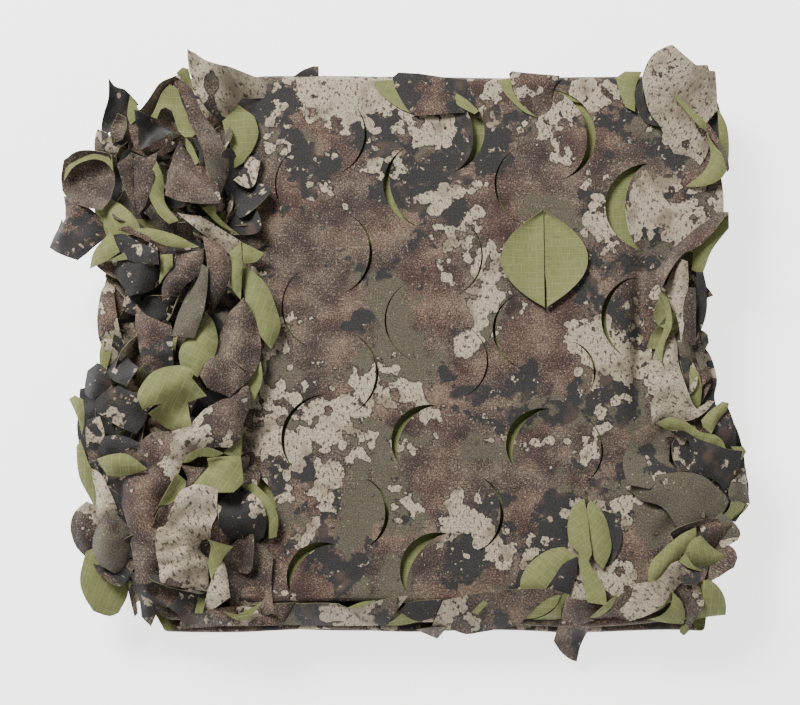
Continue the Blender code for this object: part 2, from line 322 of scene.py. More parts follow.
@dataclass(frozen=True)
class PrintedFace:
    """The face with the print: broken ground of bark brown, olive, pale lichen and charcoal.

    The layout and the marks are a generic woodland print made from noise: soft-edged blotches whose
    fine flecks run along the cloth.
    """

    weave: Ripstop = Ripstop()
    brown: tuple = ("2a2220", "493d36", "776859")  # grain, from deep to light
    rust: tuple = ("332320", "524039", "7f6b58")
    olive: tuple = ("403c34", "645d4c")
    dark: tuple = ("222021", "3b3937")
    pale: tuple = ("807361", "a69984", "bcaf98")
    fleck: str = "4b4239"
    shadow: str = "2a2522"
    blotch: float = 62.0  # size of a patch of ground
    ragged: float = 9.0  # size of the bites in its edge
    cloud: float = 21.0  # size of the lighter and darker places within a ground
    drift: float = 41.0  # size of the rust places in the bark
    grain: float = 0.9  # the bark's grain
    speck: float = 1.7  # light specks in it
    lobe: float = 7.5  # the round lobes and spots along a pale patch's edge
    fleck_size: tuple = (1.8, 3.0)  # across and along
    spot: float = 7.0  # pale spots on the dark ground
    pull: float = 0.1  # how far a leaf's own patch moves the grounds' levels

    def ground(self, tree: Tree, flat: Socket, seed: float, pull: Socket) -> Socket:
        """A noise whose high places are one kind of ground.

        Args:
            tree: the material's node tree.
            flat: flat coordinates in millimetres.
            seed: sets one ground's layout apart from another's.
            pull: the leaf's own pull towards this ground, from -1 to 1.

        Returns:
            The level, around 0.5.
        """
        offset = (seed * 37, seed * 91, seed * 13)
        place = add_node(tree, "Mapping", {"Vector": flat, "Location": offset}).outputs[0]
        wide = speckle(tree, place, self.blotch, 2.0, 0.55, 0.7)
        fine = speckle(tree, place, self.ragged, 3.0, 0.6)
        bites = maths(tree, "MULTIPLY_ADD", fine, 0.34, wide)
        pulled = maths(tree, "MULTIPLY_ADD", pull, self.pull, bites)
        return maths(tree, "SUBTRACT", pulled, 0.17)

    def flecks(self, tree: Tree, flat: Socket, seed: float, turn: float) -> Socket:
        """Short marks that run one way.

        Args:
            tree: the material's node tree.
            flat: flat coordinates in millimetres.
            seed: sets one set of marks apart from another.
            turn: their direction, in degrees.

        Returns:
            The marks' noise, around 0.5.
        """
        across, length = self.fleck_size
        place = add_node(tree, "Mapping", {
            "Vector": flat, "Location": (seed * 11, seed * 5, seed), "Rotation": (0, 0, math.radians(turn)),
            "Scale": (1 / across, 1 / length, 1),
        })
        return speckle(tree, place.outputs[0], 1.0)

    def tinted(self, tree: Tree, level: Socket, stops: tuple, colours: tuple) -> Socket:
        """Turns a level into colour.

        Args:
            tree: the material's node tree.
            level: a value from 0 to 1.
            stops: the levels of the colours, rising.
            colours: a hex colour for each.

        Returns:
            The colour.
        """
        ramp = add_node(tree, "ValToRGB", {0: level})
        elements = ramp.color_ramp.elements
        while len(elements) < len(stops):
            elements.new(0.5)
        for element, stop, colour in zip(elements, stops, colours):
            element.position = stop
            element.color = linear(colour)
        return ramp.outputs[0]

    def lay(
        self, tree: Tree, under: Socket, over: Socket | tuple, level: Socket, start: float, soft: float
    ) -> Socket:
        """Prints one colour over another where a level is high.

        Args:
            tree: the material's node tree.
            under: the colour below.
            over: the colour printed on it.
            level: the level that decides.
            start: where the level is high enough.
            soft: how soft the edge is.

        Returns:
            The new colour.
        """
        return blend(tree, remap(tree, level, start, start + soft, 0.0, 1.0), under, over)

    def material(self) -> Material:
        """Builds the printed face's material, ground by ground."""
        material, tree = new_material("printed_ripstop_face")
        flat = self.weave.flat(tree)
        own = add_node(tree, "Attribute", attribute_name="patch").outputs["Vector"]
        pulls = add_node(tree, "SeparateXYZ", {0: own}).outputs
        grain = speckle(tree, flat, self.grain, 3.0, 0.6)
        cloud = speckle(tree, flat, self.cloud, 3.0)
        clouded = maths(tree, "MULTIPLY_ADD", cloud, 0.6, grain)
        # Bark: brown and rust grain with a dust of light specks.
        bark, warm = (self.tinted(tree, clouded, (0.66, 0.8, 0.97), tones) for tones in (self.brown, self.rust))
        bark = self.lay(tree, bark, warm, speckle(tree, flat, self.drift), 0.46, 0.12)
        dust = maths(tree, "MULTIPLY_ADD", cloud, 0.3, speckle(tree, flat, self.speck, 1.0))
        bark = self.lay(tree, bark, linear(self.pale[0]), dust, 0.77, 0.08)
        # Lichen: pale grain with short dark flecks.
        lichen = self.tinted(tree, grain, (0.36, 0.5, 0.64), self.pale)
        lichen = self.lay(tree, lichen, linear(self.pale[0]), cloud, 0.52, 0.12)
        lichen = self.lay(tree, lichen, linear(self.fleck), self.flecks(tree, flat, 3.0, 8.0), 0.54, 0.12)
        # Charcoal with pale spots, and olive with pale crumbs.
        coal = self.tinted(tree, grain, (0.38, 0.64), self.dark)
        coal = self.lay(tree, coal, linear(self.brown[1]), cloud, 0.57, 0.08)
        coal = self.lay(tree, coal, lichen, speckle(tree, flat, self.spot, 4.0, 0.62), 0.62, 0.03)
        moss = self.tinted(tree, grain, (0.38, 0.62), self.olive)
        moss = self.lay(tree, moss, lichen, self.flecks(tree, flat, 8.0, -34.0), 0.68, 0.04)
        # The four grounds one over another, the pale one with lobes and a dark rim.
        olive_level, dark_level, pale_level = (
            self.ground(tree, flat, seed, pulls[axis]) for axis, seed in ((2, 1.0), (1, 2.3), (0, 4.1))
        )
        round_marks = {"Vector": flat, "Scale": 1 / self.lobe, "Smoothness": 0.35}
        cells = add_node(tree, "TexVoronoi", round_marks, feature="SMOOTH_F1").outputs[0]
        pale_level = maths(tree, "ADD", maths(tree, "MULTIPLY_ADD", cells, -0.17, pale_level), 0.08)
        colour = self.lay(tree, bark, moss, olive_level, 0.53, 0.06)
        colour = self.lay(tree, colour, coal, dark_level, 0.57, 0.02)
        colour = self.lay(tree, colour, linear(self.shadow), pale_level, 0.54, 0.016)
        colour = self.lay(tree, colour, lichen, pale_level, 0.558, 0.012)
        # The yarns take the ink unevenly.
        threads, weave = self.weave.threads(tree, flat), self.weave.weave(tree, flat)
        value = maths(tree, "MULTIPLY_ADD", threads, 0.14, remap(tree, weave, 0.36, 0.64, 0.82, 1.18))
        worn = add_node(tree, "HueSaturation", {"Color": colour, "Value": value})
        self.weave.shade(tree, worn.outputs[0], threads, weave)
        return material


@dataclass(frozen=True)
class GreenFace:
    """The unprinted face: dyed yellow-green, with paler thick threads that draw a square grid."""

    weave: Ripstop = Ripstop()
    ground: tuple = ("686b40", "7e8153")  # from yarn to yarn
    thread: str = "a3a573"
    shine: float = 0.55  # how plainly the thick threads' own colour shows

    def material(self) -> Material:
        """Builds the green face's material."""
        material, tree = new_material("green_ripstop_back")
        flat = self.weave.flat(tree)
        weave, threads = self.weave.weave(tree, flat), self.weave.threads(tree, flat)
        dyed = blend(tree, remap(tree, weave, 0.38, 0.62, 0.0, 1.0), *(linear(tone) for tone in self.ground))
        drawn = blend(tree, maths(tree, "MULTIPLY", threads, self.shine), dyed, linear(self.thread))
        self.weave.shade(tree, drawn, threads, weave)
        return material


@dataclass(frozen=True)
class CutEdge:
    """The hot-cut edge of the cloth, sealed and a little darker than its faces."""

    colour: str = "6f6a4c"
    roughness: float = 0.7
    beads: float = 1.2  # beads of melted yarn in a millimetre

    def material(self) -> Material:
        """Builds the cut edge's material."""
        material, tree = new_material("hot_cut_edge")
        links = {"Vector": Ripstop().flat(tree), "Scale": self.beads, "Detail": 2.0}
        value = remap(tree, add_node(tree, "TexNoise", links).outputs[0], 0.3, 0.7, 0.75, 1.2)
        tint = add_node(tree, "HueSaturation", {"Color": linear(self.colour), "Value": value}).outputs[0]
        plug(tree, tree.nodes["Principled BSDF"], {"Base Color": tint, "Roughness": self.roughness})
        return material


@dataclass(frozen=True)
class FloorPaint:
    """A pale matt studio surface, lit softly from below like a product table."""

    colour: str = "f6f6f5"
    roughness: float = 0.9
    glow: float = 2.1

    def material(self) -> Material:
        """Builds the floor's material."""
        material, tree = new_material("studio_floor_paint")
        place = add_node(tree, "TexCoord").outputs["Object"]
        cloud = add_node(tree, "TexNoise", {"Vector": place, "Scale": 3.0, "Detail": 1.0}).outputs[0]
        value = remap(tree, cloud, 0.3, 0.7, 0.99, 1.01)
        tint = add_node(tree, "HueSaturation", {"Color": linear(self.colour), "Value": value}).outputs[0]
        plug(tree, tree.nodes["Principled BSDF"], {
            "Base Color": tint, "Roughness": self.roughness,
            "Emission Color": WHITE, "Emission Strength": self.glow,
        })
        return material


# ---------------------------------------------------------------- the folded cloth


@dataclass(frozen=True)
class Slit:
    """A crescent cut, whose inner side is a leaf that hinges on its chord.

    x and y are the middle of the arc; side is -1 where the arc bulges left. gap is how far the leaf
    draws back from the cut, skew moves the widest place along it, and lift raises the leaf's edge. A
    leaf with a curl has rolled up out of the cloth by that angle, and past 90 shows its other face.
    """

    x: float
    y: float
    chord: float = 56.0
    bulge: float = 22.0
    gap: float = 1.0
    side: int = -1
    turn: float = 0.0
    lift: float = 2.2
    skew: float = 0.0
    curl: float = 0.0
    step: float = 2.6

    def __post_init__(self) -> None:
        """Works out the arc's radius."""
        object.__setattr__(self, "radius", (self.chord**2 / 4 + self.bulge**2) / (2 * self.bulge))

    def place(self, across: float, up: float) -> Vector:
        """A point of the flat cloth from its distance over the chord and its place along it."""
        local = Vector((self.side * (across - self.bulge), up))
        return Vector((self.x, self.y)) + Matrix.Rotation(math.radians(self.turn), 2) @ local

    def local(self, point: Vector) -> tuple:
        """Distance of a point over the chord, and its place along it."""
        flat = Matrix.Rotation(-math.radians(self.turn), 2) @ (point - Vector((self.x, self.y)))
        return flat.x * self.side + self.bulge, flat.y

    def reach(self, up: float) -> float:
        """How far the arc stands over the chord at a place along it."""
        inside = self.radius**2 - up**2
        return math.sqrt(max(0.0, inside)) - self.radius + self.bulge

    def arc(self) -> list:
        """The points of the cut from end to end."""
        half = math.asin(min(1.0, self.chord / 2 / self.radius))
        if self.bulge > self.radius:
            half = math.pi - half
        count = max(6, round(2 * half * self.radius / self.step))
        angles = [half * (2 * i / count - 1) for i in range(count + 1)]
        r = self.radius
        return [self.place(r * (math.cos(a) - 1) + self.bulge, r * math.sin(a)) for a in angles]

    def covers(self, point: Vector, margin: float = 0.0) -> bool:
        """Whether a point lies on the leaf."""
        across, up = self.local(point)
        return abs(up) < self.chord / 2 and -margin < across < self.reach(up) + margin

    def moved(self, point: Vector) -> tuple:
        """Where a point of the leaf goes.

        Args:
            point: its place on the flat cloth.

        Returns:
            The new place on the cloth, and the height over it.
        """
        across, up = self.local(point)
        if across <= 0:
            return point, 0.0
        share = across / self.bulge
        end = 2 * up / self.chord
        gap = self.gap * max(0.0, 1 + self.skew * end)
        drawn = across * (1 - gap / self.bulge)
        raised = self.lift * share**1.4 * (1 - 0.35 * end * end)
        return self.place(drawn, up), raised


@dataclass
class FoldedPacket:
    """The one cloth, folded back and forth in ten layers, as the CAD solid has it but finer."""

    layers: int = 10
    solid_cloth: float = 1.6  # the CAD solid's thickness, from which its heights follow
    pitch: float = 5.5
    turn_steps: int = 6
    wrap_radius: float = 7.0
    wrap_drop: float = 9.0
    back_free_end: float = 160.0
    front_folds: tuple = ((-172, 4.0), (-178, 5.0), (-181, 6.0), (-176, 5.0), (-165, 3.0))  # y, sway
    back_folds: tuple = ((168, 5.0), (173, 4.0), (171, 6.0), (165, 4.0))
    top_back: tuple = (175, 1.5)
    sway_length: float = 95.0
    left_side: tuple = (  # y and x of the sides' edges
        (-185, -152), (-140, -186), (-60, -195), (10, -190), (80, -195), (140, -187), (185, -152),
    )
    right_side: tuple = (
        (-185, 196), (-130, 205), (-70, 200), (0, 190), (30, 190), (62, 200), (86, 217), (150, 217), (185, 210),
    )
    corner: tuple = (148.0, 17.0)  # from here left the folds are drawn in, and how far
    lobe: float = 62.0
    lobe_depth: float = 13.0
    lobe_stagger: float = 0.5
    lobe_drift: float = 0.17
    lobe_fullness: float = 0.7
    layer_inset: tuple = (4, 11, 2, 9, 0, 6, 12, 3, 9, 5)
    rises: tuple = ((-80.0, -135.0, 3.0), (148.0, 178.0, 1.0))  # of both sides: from, to, height
    rows: int = 34
    columns: int = 44
    mesh_step: float = 4.2  # between the top layer's points
    top_origin: tuple = (700, 300)  # its place on the cloth as cut
    pleat: float = 29.0  # from one gathered fold to the next, in both sides
    pleat_depths: tuple = (7.0, 2.5)  # left and right
    sinks: tuple = (4.0, 2.0)  # how far the gathered sides sink, left and right
    crumple: float = 3.5  # height of the sides' small creases
    waves: tuple = (1.3, 0.5)  # height of the panel's wide and small waves
    cut_sides: tuple = (7, 8)  # lower layers whose sides show through the leaves' holes
    side_from: tuple = (-98.0, 164.0)  # where the gathered sides begin, left and right
    side_ends: float = 156.0  # how far they run to the front and to the back
    side_steps: int = 88  # points along each side of the top layer
    side_mesh_step: float = 5.0
    side_leaves: tuple = (38.0, 29.5)  # from one of the sides' leaves to the next, across and along
    right_gather: float = 96.0  # behind this the right side isn't gathered
    creases: tuple = (  # ends of a crease in the panel, its height and its half width
        (-78, 128, -66, 40, 1.6, 9),
        (-84, 62, -62, -30, -1.6, 10),
        (-80, -40, -92, -150, 1.8, 10),
        (146, 120, 152, 70, -1.2, 7),
        (158, 66, 154, -56, -12.0, 7),
        (20, -150, 120, -156, 1.5, 8),
        (-60, -155, 10, -149, -1.0, 7),
        (150, -60, 100, -92, 1.4, 10),
        (40, 150, 70, 96, 1.1, 8),
        (-40, 60, 30, 48, 0.9, 9),
        (60, -20, 140, -34, -1.1, 9),
        (-56, -70, 20, -86, 1.0, 9),
    )
    slits: tuple = (
        Slit(-82, 106, gap=1.0, lift=1.6),
        Slit(-11, 106, gap=4.2, lift=2.4, skew=-0.7),
        Slit(62, 106, gap=1.3, lift=2.0),
        Slit(134.5, 93, chord=59, bulge=30, gap=13.0, lift=1.8, turn=-4),
        Slit(-77, 24, gap=1.2, lift=2.6),
        Slit(-10, 15, gap=1.0, lift=1.2),
        Slit(60, 8, chord=52, gap=1.6, lift=2.8),
        Slit(131, 22, gap=3.2, lift=1.8, turn=-12),
        Slit(-74, -52, gap=2.6, lift=2.0, turn=-22),
        Slit(-2, -52, chord=46, bulge=18, gap=6.0, lift=2.2, turn=-32),
        Slit(71, -55, chord=46, bulge=18, gap=6.0, lift=2.2, turn=-30),
        Slit(-66, -137, chord=42, bulge=15, gap=6.0, lift=2.0, turn=-42),
        Slit(4, -134, chord=46, bulge=17, gap=8.0, lift=2.2, turn=-34),
        Slit(-22, 142, gap=1.3, lift=1.8, side=1, turn=4, skew=-0.6),
        Slit(54.9, 150, chord=59, bulge=33, gap=8.0, lift=2.0, side=1, turn=14),
        Slit(128.6, 145, chord=63, bulge=31, gap=6.0, lift=1.6, side=1, turn=9.5),
        Slit(-18, 60, gap=1.8, lift=3.4, side=1),
        Slit(54, 58, gap=1.0, lift=1.4, side=1),
        Slit(-14, -18, gap=1.5, lift=2.8, side=1, turn=4),
        Slit(57, -12, chord=50, gap=1.0, lift=1.6, side=1),
        Slit(-7, -111, chord=46, bulge=17, gap=2.4, lift=2.6, side=1),
        Slit(66, -111, chord=50, bulge=18, gap=2.2, lift=2.6, side=1),
        Slit(-79, -106, chord=50, bulge=17, gap=7.0, lift=2.2, side=1, turn=8),
        Slit(130, -70, chord=48, bulge=16, gap=1.2, lift=1.6, side=1),
        Slit(125, -12, chord=34, bulge=9, gap=1.6, lift=1.4, side=1, turn=20),
    )

    def fold_y(self, fold: tuple, channel: int, x: float) -> float:
        """Where a fold lies at x, drawn in towards the left corners."""
        drawn = self.corner[1] * ease((-self.corner[0] - x) / 45)
        return fold[0] + fold[1] * wander(channel, x / self.sway_length) - math.copysign(drawn, fold[0])

    def front_y(self, layer: int, x: float) -> float:
        """The front end of a layer's flat part."""
        return self.fold_y(self.front_folds[layer // 2], 20 + layer // 2, x)

    def back_y(self, layer: int, x: float) -> float:
        """The back end of a layer's flat part."""
        if layer == 0:
            return self.fold_y((self.back_free_end, 0.0), 29, x)
        if layer == self.layers - 1:
            return self.fold_y(self.top_back, 40, x)
        return self.fold_y(self.back_folds[(layer - 1) // 2], 30 + (layer - 1) // 2, x)

    def relief(self, x: float, y: float) -> float:
        """The creases' height in the top layer: deep in the gathered sides, slight in the panel."""
        left = ease((-88 - x) / 26)
        right = ease((x - 154) / 16) * ease((self.right_gather - y) / 30)
        pleat = math.sin(2 * math.pi * (x / self.pleat + 1.5 * wander(63, x / 80, y / 62)))
        depth = 0.75 + 0.9 * wander(64, x / 42, y / 36)
        bunch = (left * self.pleat_depths[0] + right * self.pleat_depths[1]) * depth * pleat
        bunch = bunch - left * self.sinks[0] - right * self.sinks[1]
        bunch += (left + right) * self.crumple * (0.3 - abs(wander(60, x / 15, y / 19)))
        panel = self.waves[0] * wander(61, x / 52, y / 40) + self.waves[1] * wander(62, x / 17, y / 21)
        height = bunch + panel
        here = Vector((x, y))
        for x0, y0, x1, y1, crest, half in self.creases:
            near, share = geometry.intersect_point_line(here, Vector((x0, y0)), Vector((x1, y1)))
            share = min(1.0, max(0.0, share))
            near = Vector((x0, y0)).lerp(Vector((x1, y1)), share)
            away = (here - near).length / half
            fade = ease(1.25 - 2 * abs(share - 0.5))
            height += crest * fade * math.exp(-away * away * 1.6)
        return height

    def smooth_z(self, layer: int, x: float, y: float) -> float:
        """Height of a layer's middle without its creases.

        Args:
            layer: its number from the bottom, from 0.
            x: place across.
            y: place along.

        Returns:
            The height over the surface.
        """
        swell = sum(ease((x - start) / (full - start)) * height for start, full, height in self.rises)
        share = 1 / (self.layers - 1)
        z = self.solid_cloth / 2
        for k in range(1, layer + 1):
            z += self.pitch + swell * share * max(0.1, 1 + 1.4 * wander(k, x / 60, y / 60))
        return z + 1.5 * layer * share * wander(50, x / 120, y / 120)

    def layer_z(self, layer: int, x: float, y: float) -> float:
        """Height of a layer's middle, creases and all."""
        return self.smooth_z(layer, x, y) + (layer / (self.layers - 1)) ** 2 * self.relief(x, y)

    def side_x(self, layer: int, y: float, side: int) -> float:
        """The edge of a layer at y, with the cut leaves of its edge as lobes.

        Args:
            layer: its number from the bottom.
            y: place along.
            side: -1 for the left edge, 1 for the right.

        Returns:
            x of the edge.
        """
        phase = self.lobe * (self.lobe_stagger * (layer % 2) + self.lobe_drift * layer)
        lobe = abs(math.sin(math.pi * (y - phase) / self.lobe)) ** self.lobe_fullness
        table = self.left_side if side < 0 else self.right_side
        depth = self.lobe_depth * (0.4 if layer == self.layers - 1 and side > 0 else 1.0)
        return along(table, y) - side * (self.layer_inset[layer] + depth * (1 - lobe))

    def across(self, layer: int, y: float, share: float) -> float:
        """x at a share of the way from a layer's left edge to its right one."""
        left, right = self.side_x(layer, y, -1), self.side_x(layer, y, 1)
        return left + (right - left) * share

    def lower_point(self, layer: int, kind: str, place: float, share: float) -> Vector:
        """A point of the layers under the top one.

        Args:
            layer: the layer's number.
            kind: "flat", or "turn" for the fold after it.
            place: how far along it, from 0 to 1.
            share: how far across, from 0 to 1.

        Returns:
            The point on the cloth's middle.
        """
        forward = layer % 2 == 0
        out = -1 if forward else 1
        ends = (self.back_y(layer, 0), self.front_y(layer, 0))
        first, last = ends if forward else ends[::-1]
        if kind == "flat":
            x = self.across(layer, first + (last - first) * place, share)
            ends = (self.back_y(layer, x), self.front_y(layer, x))
            first, last = ends if forward else ends[::-1]
            y = first + (last - first) * place
            return Vector((x, y, self.layer_z(layer, x, y)))
        angle = math.pi * place
        up = (1 - math.cos(angle)) / 2
        x = self.across(layer, last, share) * (1 - up) + self.across(layer + 1, last, share) * up
        y = self.front_y(layer, x) if forward else self.back_y(layer, x)
        low, high = self.layer_z(layer, x, y), self.layer_z(layer + 1, x, y)
        reach = math.sin(angle) * min(self.pitch, high - low) / 2
        return Vector((x, y + out * reach, low + (high - low) * up))

    def top_point(self, x: float, v: float) -> Vector:
        """A point of the top layer.

        Args:
            x: place across.
            v: place along the cloth, which is y on the flat part and runs on round both ends.

        Returns:
            The point on the cloth's middle.
        """
        top = self.layers - 1
        front, back = self.front_y(top, x), self.back_y(top, x)
        if v < front:
            angle = min(math.pi, (front - v) / (self.pitch / 2))
            up = (1 + math.cos(angle)) / 2
            low, high = self.layer_z(top - 1, x, front), self.layer_z(top, x, front)
            return Vector((x, front - math.sin(angle) * self.pitch / 2, low + (high - low) * up))
        if v <= back:
            return Vector((x, v, self.layer_z(top, x, v)))
        z = self.layer_z(top, x, back)
        angle = min(math.pi / 2, (v - back) / self.wrap_radius)
        drop = max(0.0, v - back - self.wrap_radius * math.pi / 2)
        sink = self.wrap_radius * (1 - math.cos(angle)) + drop
        return Vector((x, back + self.wrap_radius * math.sin(angle), z - sink))

    def front_v(self, x: float) -> float:
        """Where the top layer's mesh begins, under the front fold."""
        return self.front_y(self.layers - 1, x) - math.pi * self.pitch / 2

    def back_v(self, x: float) -> float:
        """Where the cloth ends behind the packet."""
        return self.back_y(self.layers - 1, x) + self.wrap_radius * math.pi / 2 + self.wrap_drop

    def add_lower(self, bm: Mesh) -> None:
        """Adds the layers under the top one as one long zigzag."""
        stations = []
        for layer in range(self.layers - 1):
            stations += [(layer, "flat", i / self.rows) for i in range(self.rows + 1)]
            if layer < self.layers - 2:
                stations += [(layer, "turn", i / self.turn_steps) for i in range(1, self.turn_steps)]
        flat = bm.verts.layers.float_vector["flat"]
        grid = bmesh.ops.create_grid(bm, x_segments=self.columns, y_segments=len(stations) - 1, size=1.0)
        length = 0.0
        before = None
        spots = {}
        for vert in grid["verts"]:
            column = round((vert.co.x + 1) / 2 * self.columns)
            row = round((vert.co.y + 1) / 2 * (len(stations) - 1))
            spots[row, column] = vert
        open_rows = set()
        for row, (layer, kind, place) in enumerate(stations):
            if kind == "flat" and layer in self.cut_sides:
                open_rows.add(row)
            for column in range(self.columns + 1):
                vert = spots[row, column]
                vert.co = self.lower_point(layer, kind, place, column / self.columns)
            middle = spots[row, self.columns // 2].co.copy()
            length += (middle - before).length if before else 0.0
            before = middle
            for column in range(self.columns + 1):
                vert = spots[row, column]
                vert[flat] = Vector((vert.co.x, length, 0)) * MM
        rows_of = {vert: row for (row, _), vert in spots.items()}
        opened = []
        for face in {f for v in spots.values() for f in v.link_faces}:
            place = face.calc_center_median()
            inside = self.side_from[0] < place.x < self.side_from[1] or abs(place.y) > self.side_ends
            if not inside and all(rows_of[v] in open_rows for v in face.verts):
                opened.append(face)
        bmesh.ops.delete(bm, geom=opened, context="FACES")

    def outline(self) -> list:
        """The top layer's flat outline, counter-clockwise from its front left corner."""
        top = self.layers - 1
        front_mid = self.front_y(top, 0)
        row = [self.across(top - 1, self.front_y(top, 0), i / self.columns) for i in range(self.columns + 1)]
        front = [Vector((x, self.front_v(x))) for x in row]
        back_mid = self.back_y(top, 0)
        right, left = [], []
        for i in range(1, self.side_steps):
            y = front_mid + (back_mid - front_mid) * i / self.side_steps
            for side, points in ((1, right), (-1, left)):
                x = self.side_x(top, y, side)
                first, last = self.front_y(top, x), self.back_y(top, x)
                points.append(Vector((x, first + (last - first) * i / self.side_steps)))
        ends = [self.across(top, back_mid, i / self.columns) for i in range(self.columns + 1)]
        back = [Vector((x, self.back_v(x))) for x in reversed(ends)]
        return front + right + back + left[::-1]

    def side_slits(self, layer: int, side: int) -> list:
        """Crescents in the gathered side of a layer, whose leaves have curled out of the cloth.

        Args:
            layer: the layer's number.
            side: -1 for the left side, 1 for the right.

        Returns:
            The slits.
        """
        draw = random.Random(100 * layer + side)
        facing = -1 if (layer + side) % 4 < 2 else 1
        first, last = (-184, -106) if side < 0 else (188, 204)
        apart_x, apart_y = self.side_leaves
        taken = [Vector((s.x, s.y)) for s in self.slits] if layer == self.layers - 1 else []
        slits = []
        for row, column in ((r, c) for r in range(11) for c in range(3)):
            x, y = first + apart_x * (column + 0.5 * (row % 2)), -158 + apart_y * row
            if x > last or abs(y) > 150 or (side > 0 and y > self.right_gather - 22):
                continue
            if any((Vector((x, y)) - spot).length < 30 for spot in taken):
                continue
            slit = Slit(
                x + draw.uniform(-3, 3) + 10 * facing,
                y + draw.uniform(-3, 3),
                chord=draw.uniform(42, 52),
                bulge=draw.uniform(17, 23),
                side=facing,
                turn=draw.uniform(-14, 14),
                curl=draw.choice((20, 45, 70, 95)) + draw.uniform(-10, 10),
                step=3.4,
            )
            slits.append(slit)
        return slits

    def flap_point(self, surface: Callable, slit: Slit, spot: Vector, number: int) -> Vector:
        """A point of a leaf that hangs on its chord.

        Args:
            surface: gives a point of the layer from its flat place.
            slit: the leaf's cut.
            spot: the point's flat place.
            number: sets its unevenness apart from the other leaves'.

        Returns:
            The point.
        """
        across, up = slit.local(spot)
        if not slit.curl or across <= 0:
            moved, raised = slit.moved(spot)
            return surface(moved.x, moved.y) + Vector((0, 0, raised))
        root = surface(*slit.place(0, up))
        out = (surface(*slit.place(5, up)) - surface(*slit.place(-5, up))).normalized()
        run = surface(*slit.place(0, up + 5)) - surface(*slit.place(0, up - 5))
        rise = out.cross(run).normalized()
        rise = rise if rise.z > 0 else -rise
        uneven = 1 + 0.5 * wander(500 + number, up / 24, across / 30)
        bend = math.radians(slit.curl) * uneven / slit.bulge
        ripple = 1.6 * wander(540 + number, up / 12, across / 14) * across / slit.bulge
        along_way, over = math.sin(bend * across) / bend, (1 - math.cos(bend * across)) / bend
        return root + out * along_way + rise * (over + ripple)

    def add_cut_sheet(
        self, bm: Mesh, outline: list, slits: list, surface: Callable, origin: Vector, step: float
    ) -> None:
        """Adds a stretch of cloth with its slits cut right through.

        Args:
            bm: the cloth's mesh.
            outline: its flat outline, counter-clockwise.
            slits: its slits.
            surface: gives a point of the layer from its flat place.
            origin: the outline's place on the cloth as cut.
            step: from one point of the mesh to the next.
        """
        points, edges = list(outline), []
        for slit in slits:
            arc = slit.arc()
            edges += [(len(points) + i, len(points) + i + 1) for i in range(len(arc) - 1)]
            points += arc
        made, cut = fill_outline(bm, points, edges, len(outline), step)
        bmesh.ops.split_edges(bm, edges=cut)
        flat = bm.verts.layers.float_vector["flat"]
        places = {}
        for vert in {v for f in made for v in f.verts}:
            spot = Vector((vert.co.x, vert.co.y))
            inner = sum((f.calc_center_median() for f in vert.link_faces), Vector()) / len(vert.link_faces)
            inner = Vector((inner.x, inner.y))
            vert[flat] = (spot + origin).to_3d() * MM
            places[vert] = surface(spot.x, spot.y)
            for number, slit in enumerate(slits):
                if (spot - Vector((slit.x, slit.y))).length < slit.chord and slit.covers(inner):
                    if slit.covers(spot, 0.3):
                        places[vert] = self.flap_point(surface, slit, spot, number)
                        break
        for vert, place in places.items():
            vert.co = place

    def add_top(self, bm: Mesh) -> None:
        """Adds the top layer."""
        top = self.layers - 1
        slits = list(self.slits) + self.side_slits(top, -1)
        self.add_cut_sheet(bm, self.outline(), slits, self.top_point, Vector(self.top_origin), self.mesh_step)

    def add_cut_sides(self, bm: Mesh) -> None:
        """Adds the gathered sides of the layers that show through the top layer's holes."""
        for layer in self.cut_sides:
            for side, inner in zip((-1, 1), self.side_from):
                ys = [-160 + 320 * i / 64 for i in range(65)]
                outer = [Vector((self.side_x(layer, y, side), y)) for y in ys]
                edge = [Vector((inner, y)) for y in ys[::8]]
                outline = outer[::-1] + edge if side < 0 else outer + edge[::-1]

                def surface(x: float, y: float, layer: int = layer) -> Vector:
                    """A point of this layer."""
                    return Vector((x, y, self.layer_z(layer, x, y)))

                origin = Vector((1500 + 400 * layer, 800 * side))
                slits = self.side_slits(layer, side)
                self.add_cut_sheet(bm, outline, slits, surface, origin, self.side_mesh_step)

    def build(self, materials: list) -> Piece:
        """Builds the whole folded cloth.

        Args:
            materials: the printed face, the green face and the cut edge.

        Returns:
            The finished piece.
        """
        bm = new_bmesh()
        self.add_lower(bm)
        self.add_cut_sides(bm)
        self.add_top(bm)
        seam = [v for v in bm.verts if v.is_boundary and v.co.y < -150]  # where the zigzag meets the top layer
        bmesh.ops.remove_doubles(bm, verts=seam, dist=0.02)
        piece = finish_cloth("net_cloth", bm, materials)
        area = sum(p.area for p in piece.data.polygons)
        log.info("net_cloth: %.3f square metres of cloth", area)
        return piece


def new_bmesh() -> Mesh:
    """An empty mesh with the attributes that the cloth's materials read."""
    bm = bmesh.new()
    bm.verts.layers.float_vector.new("flat")
    bm.verts.layers.float_vector.new("patch")
    return bm


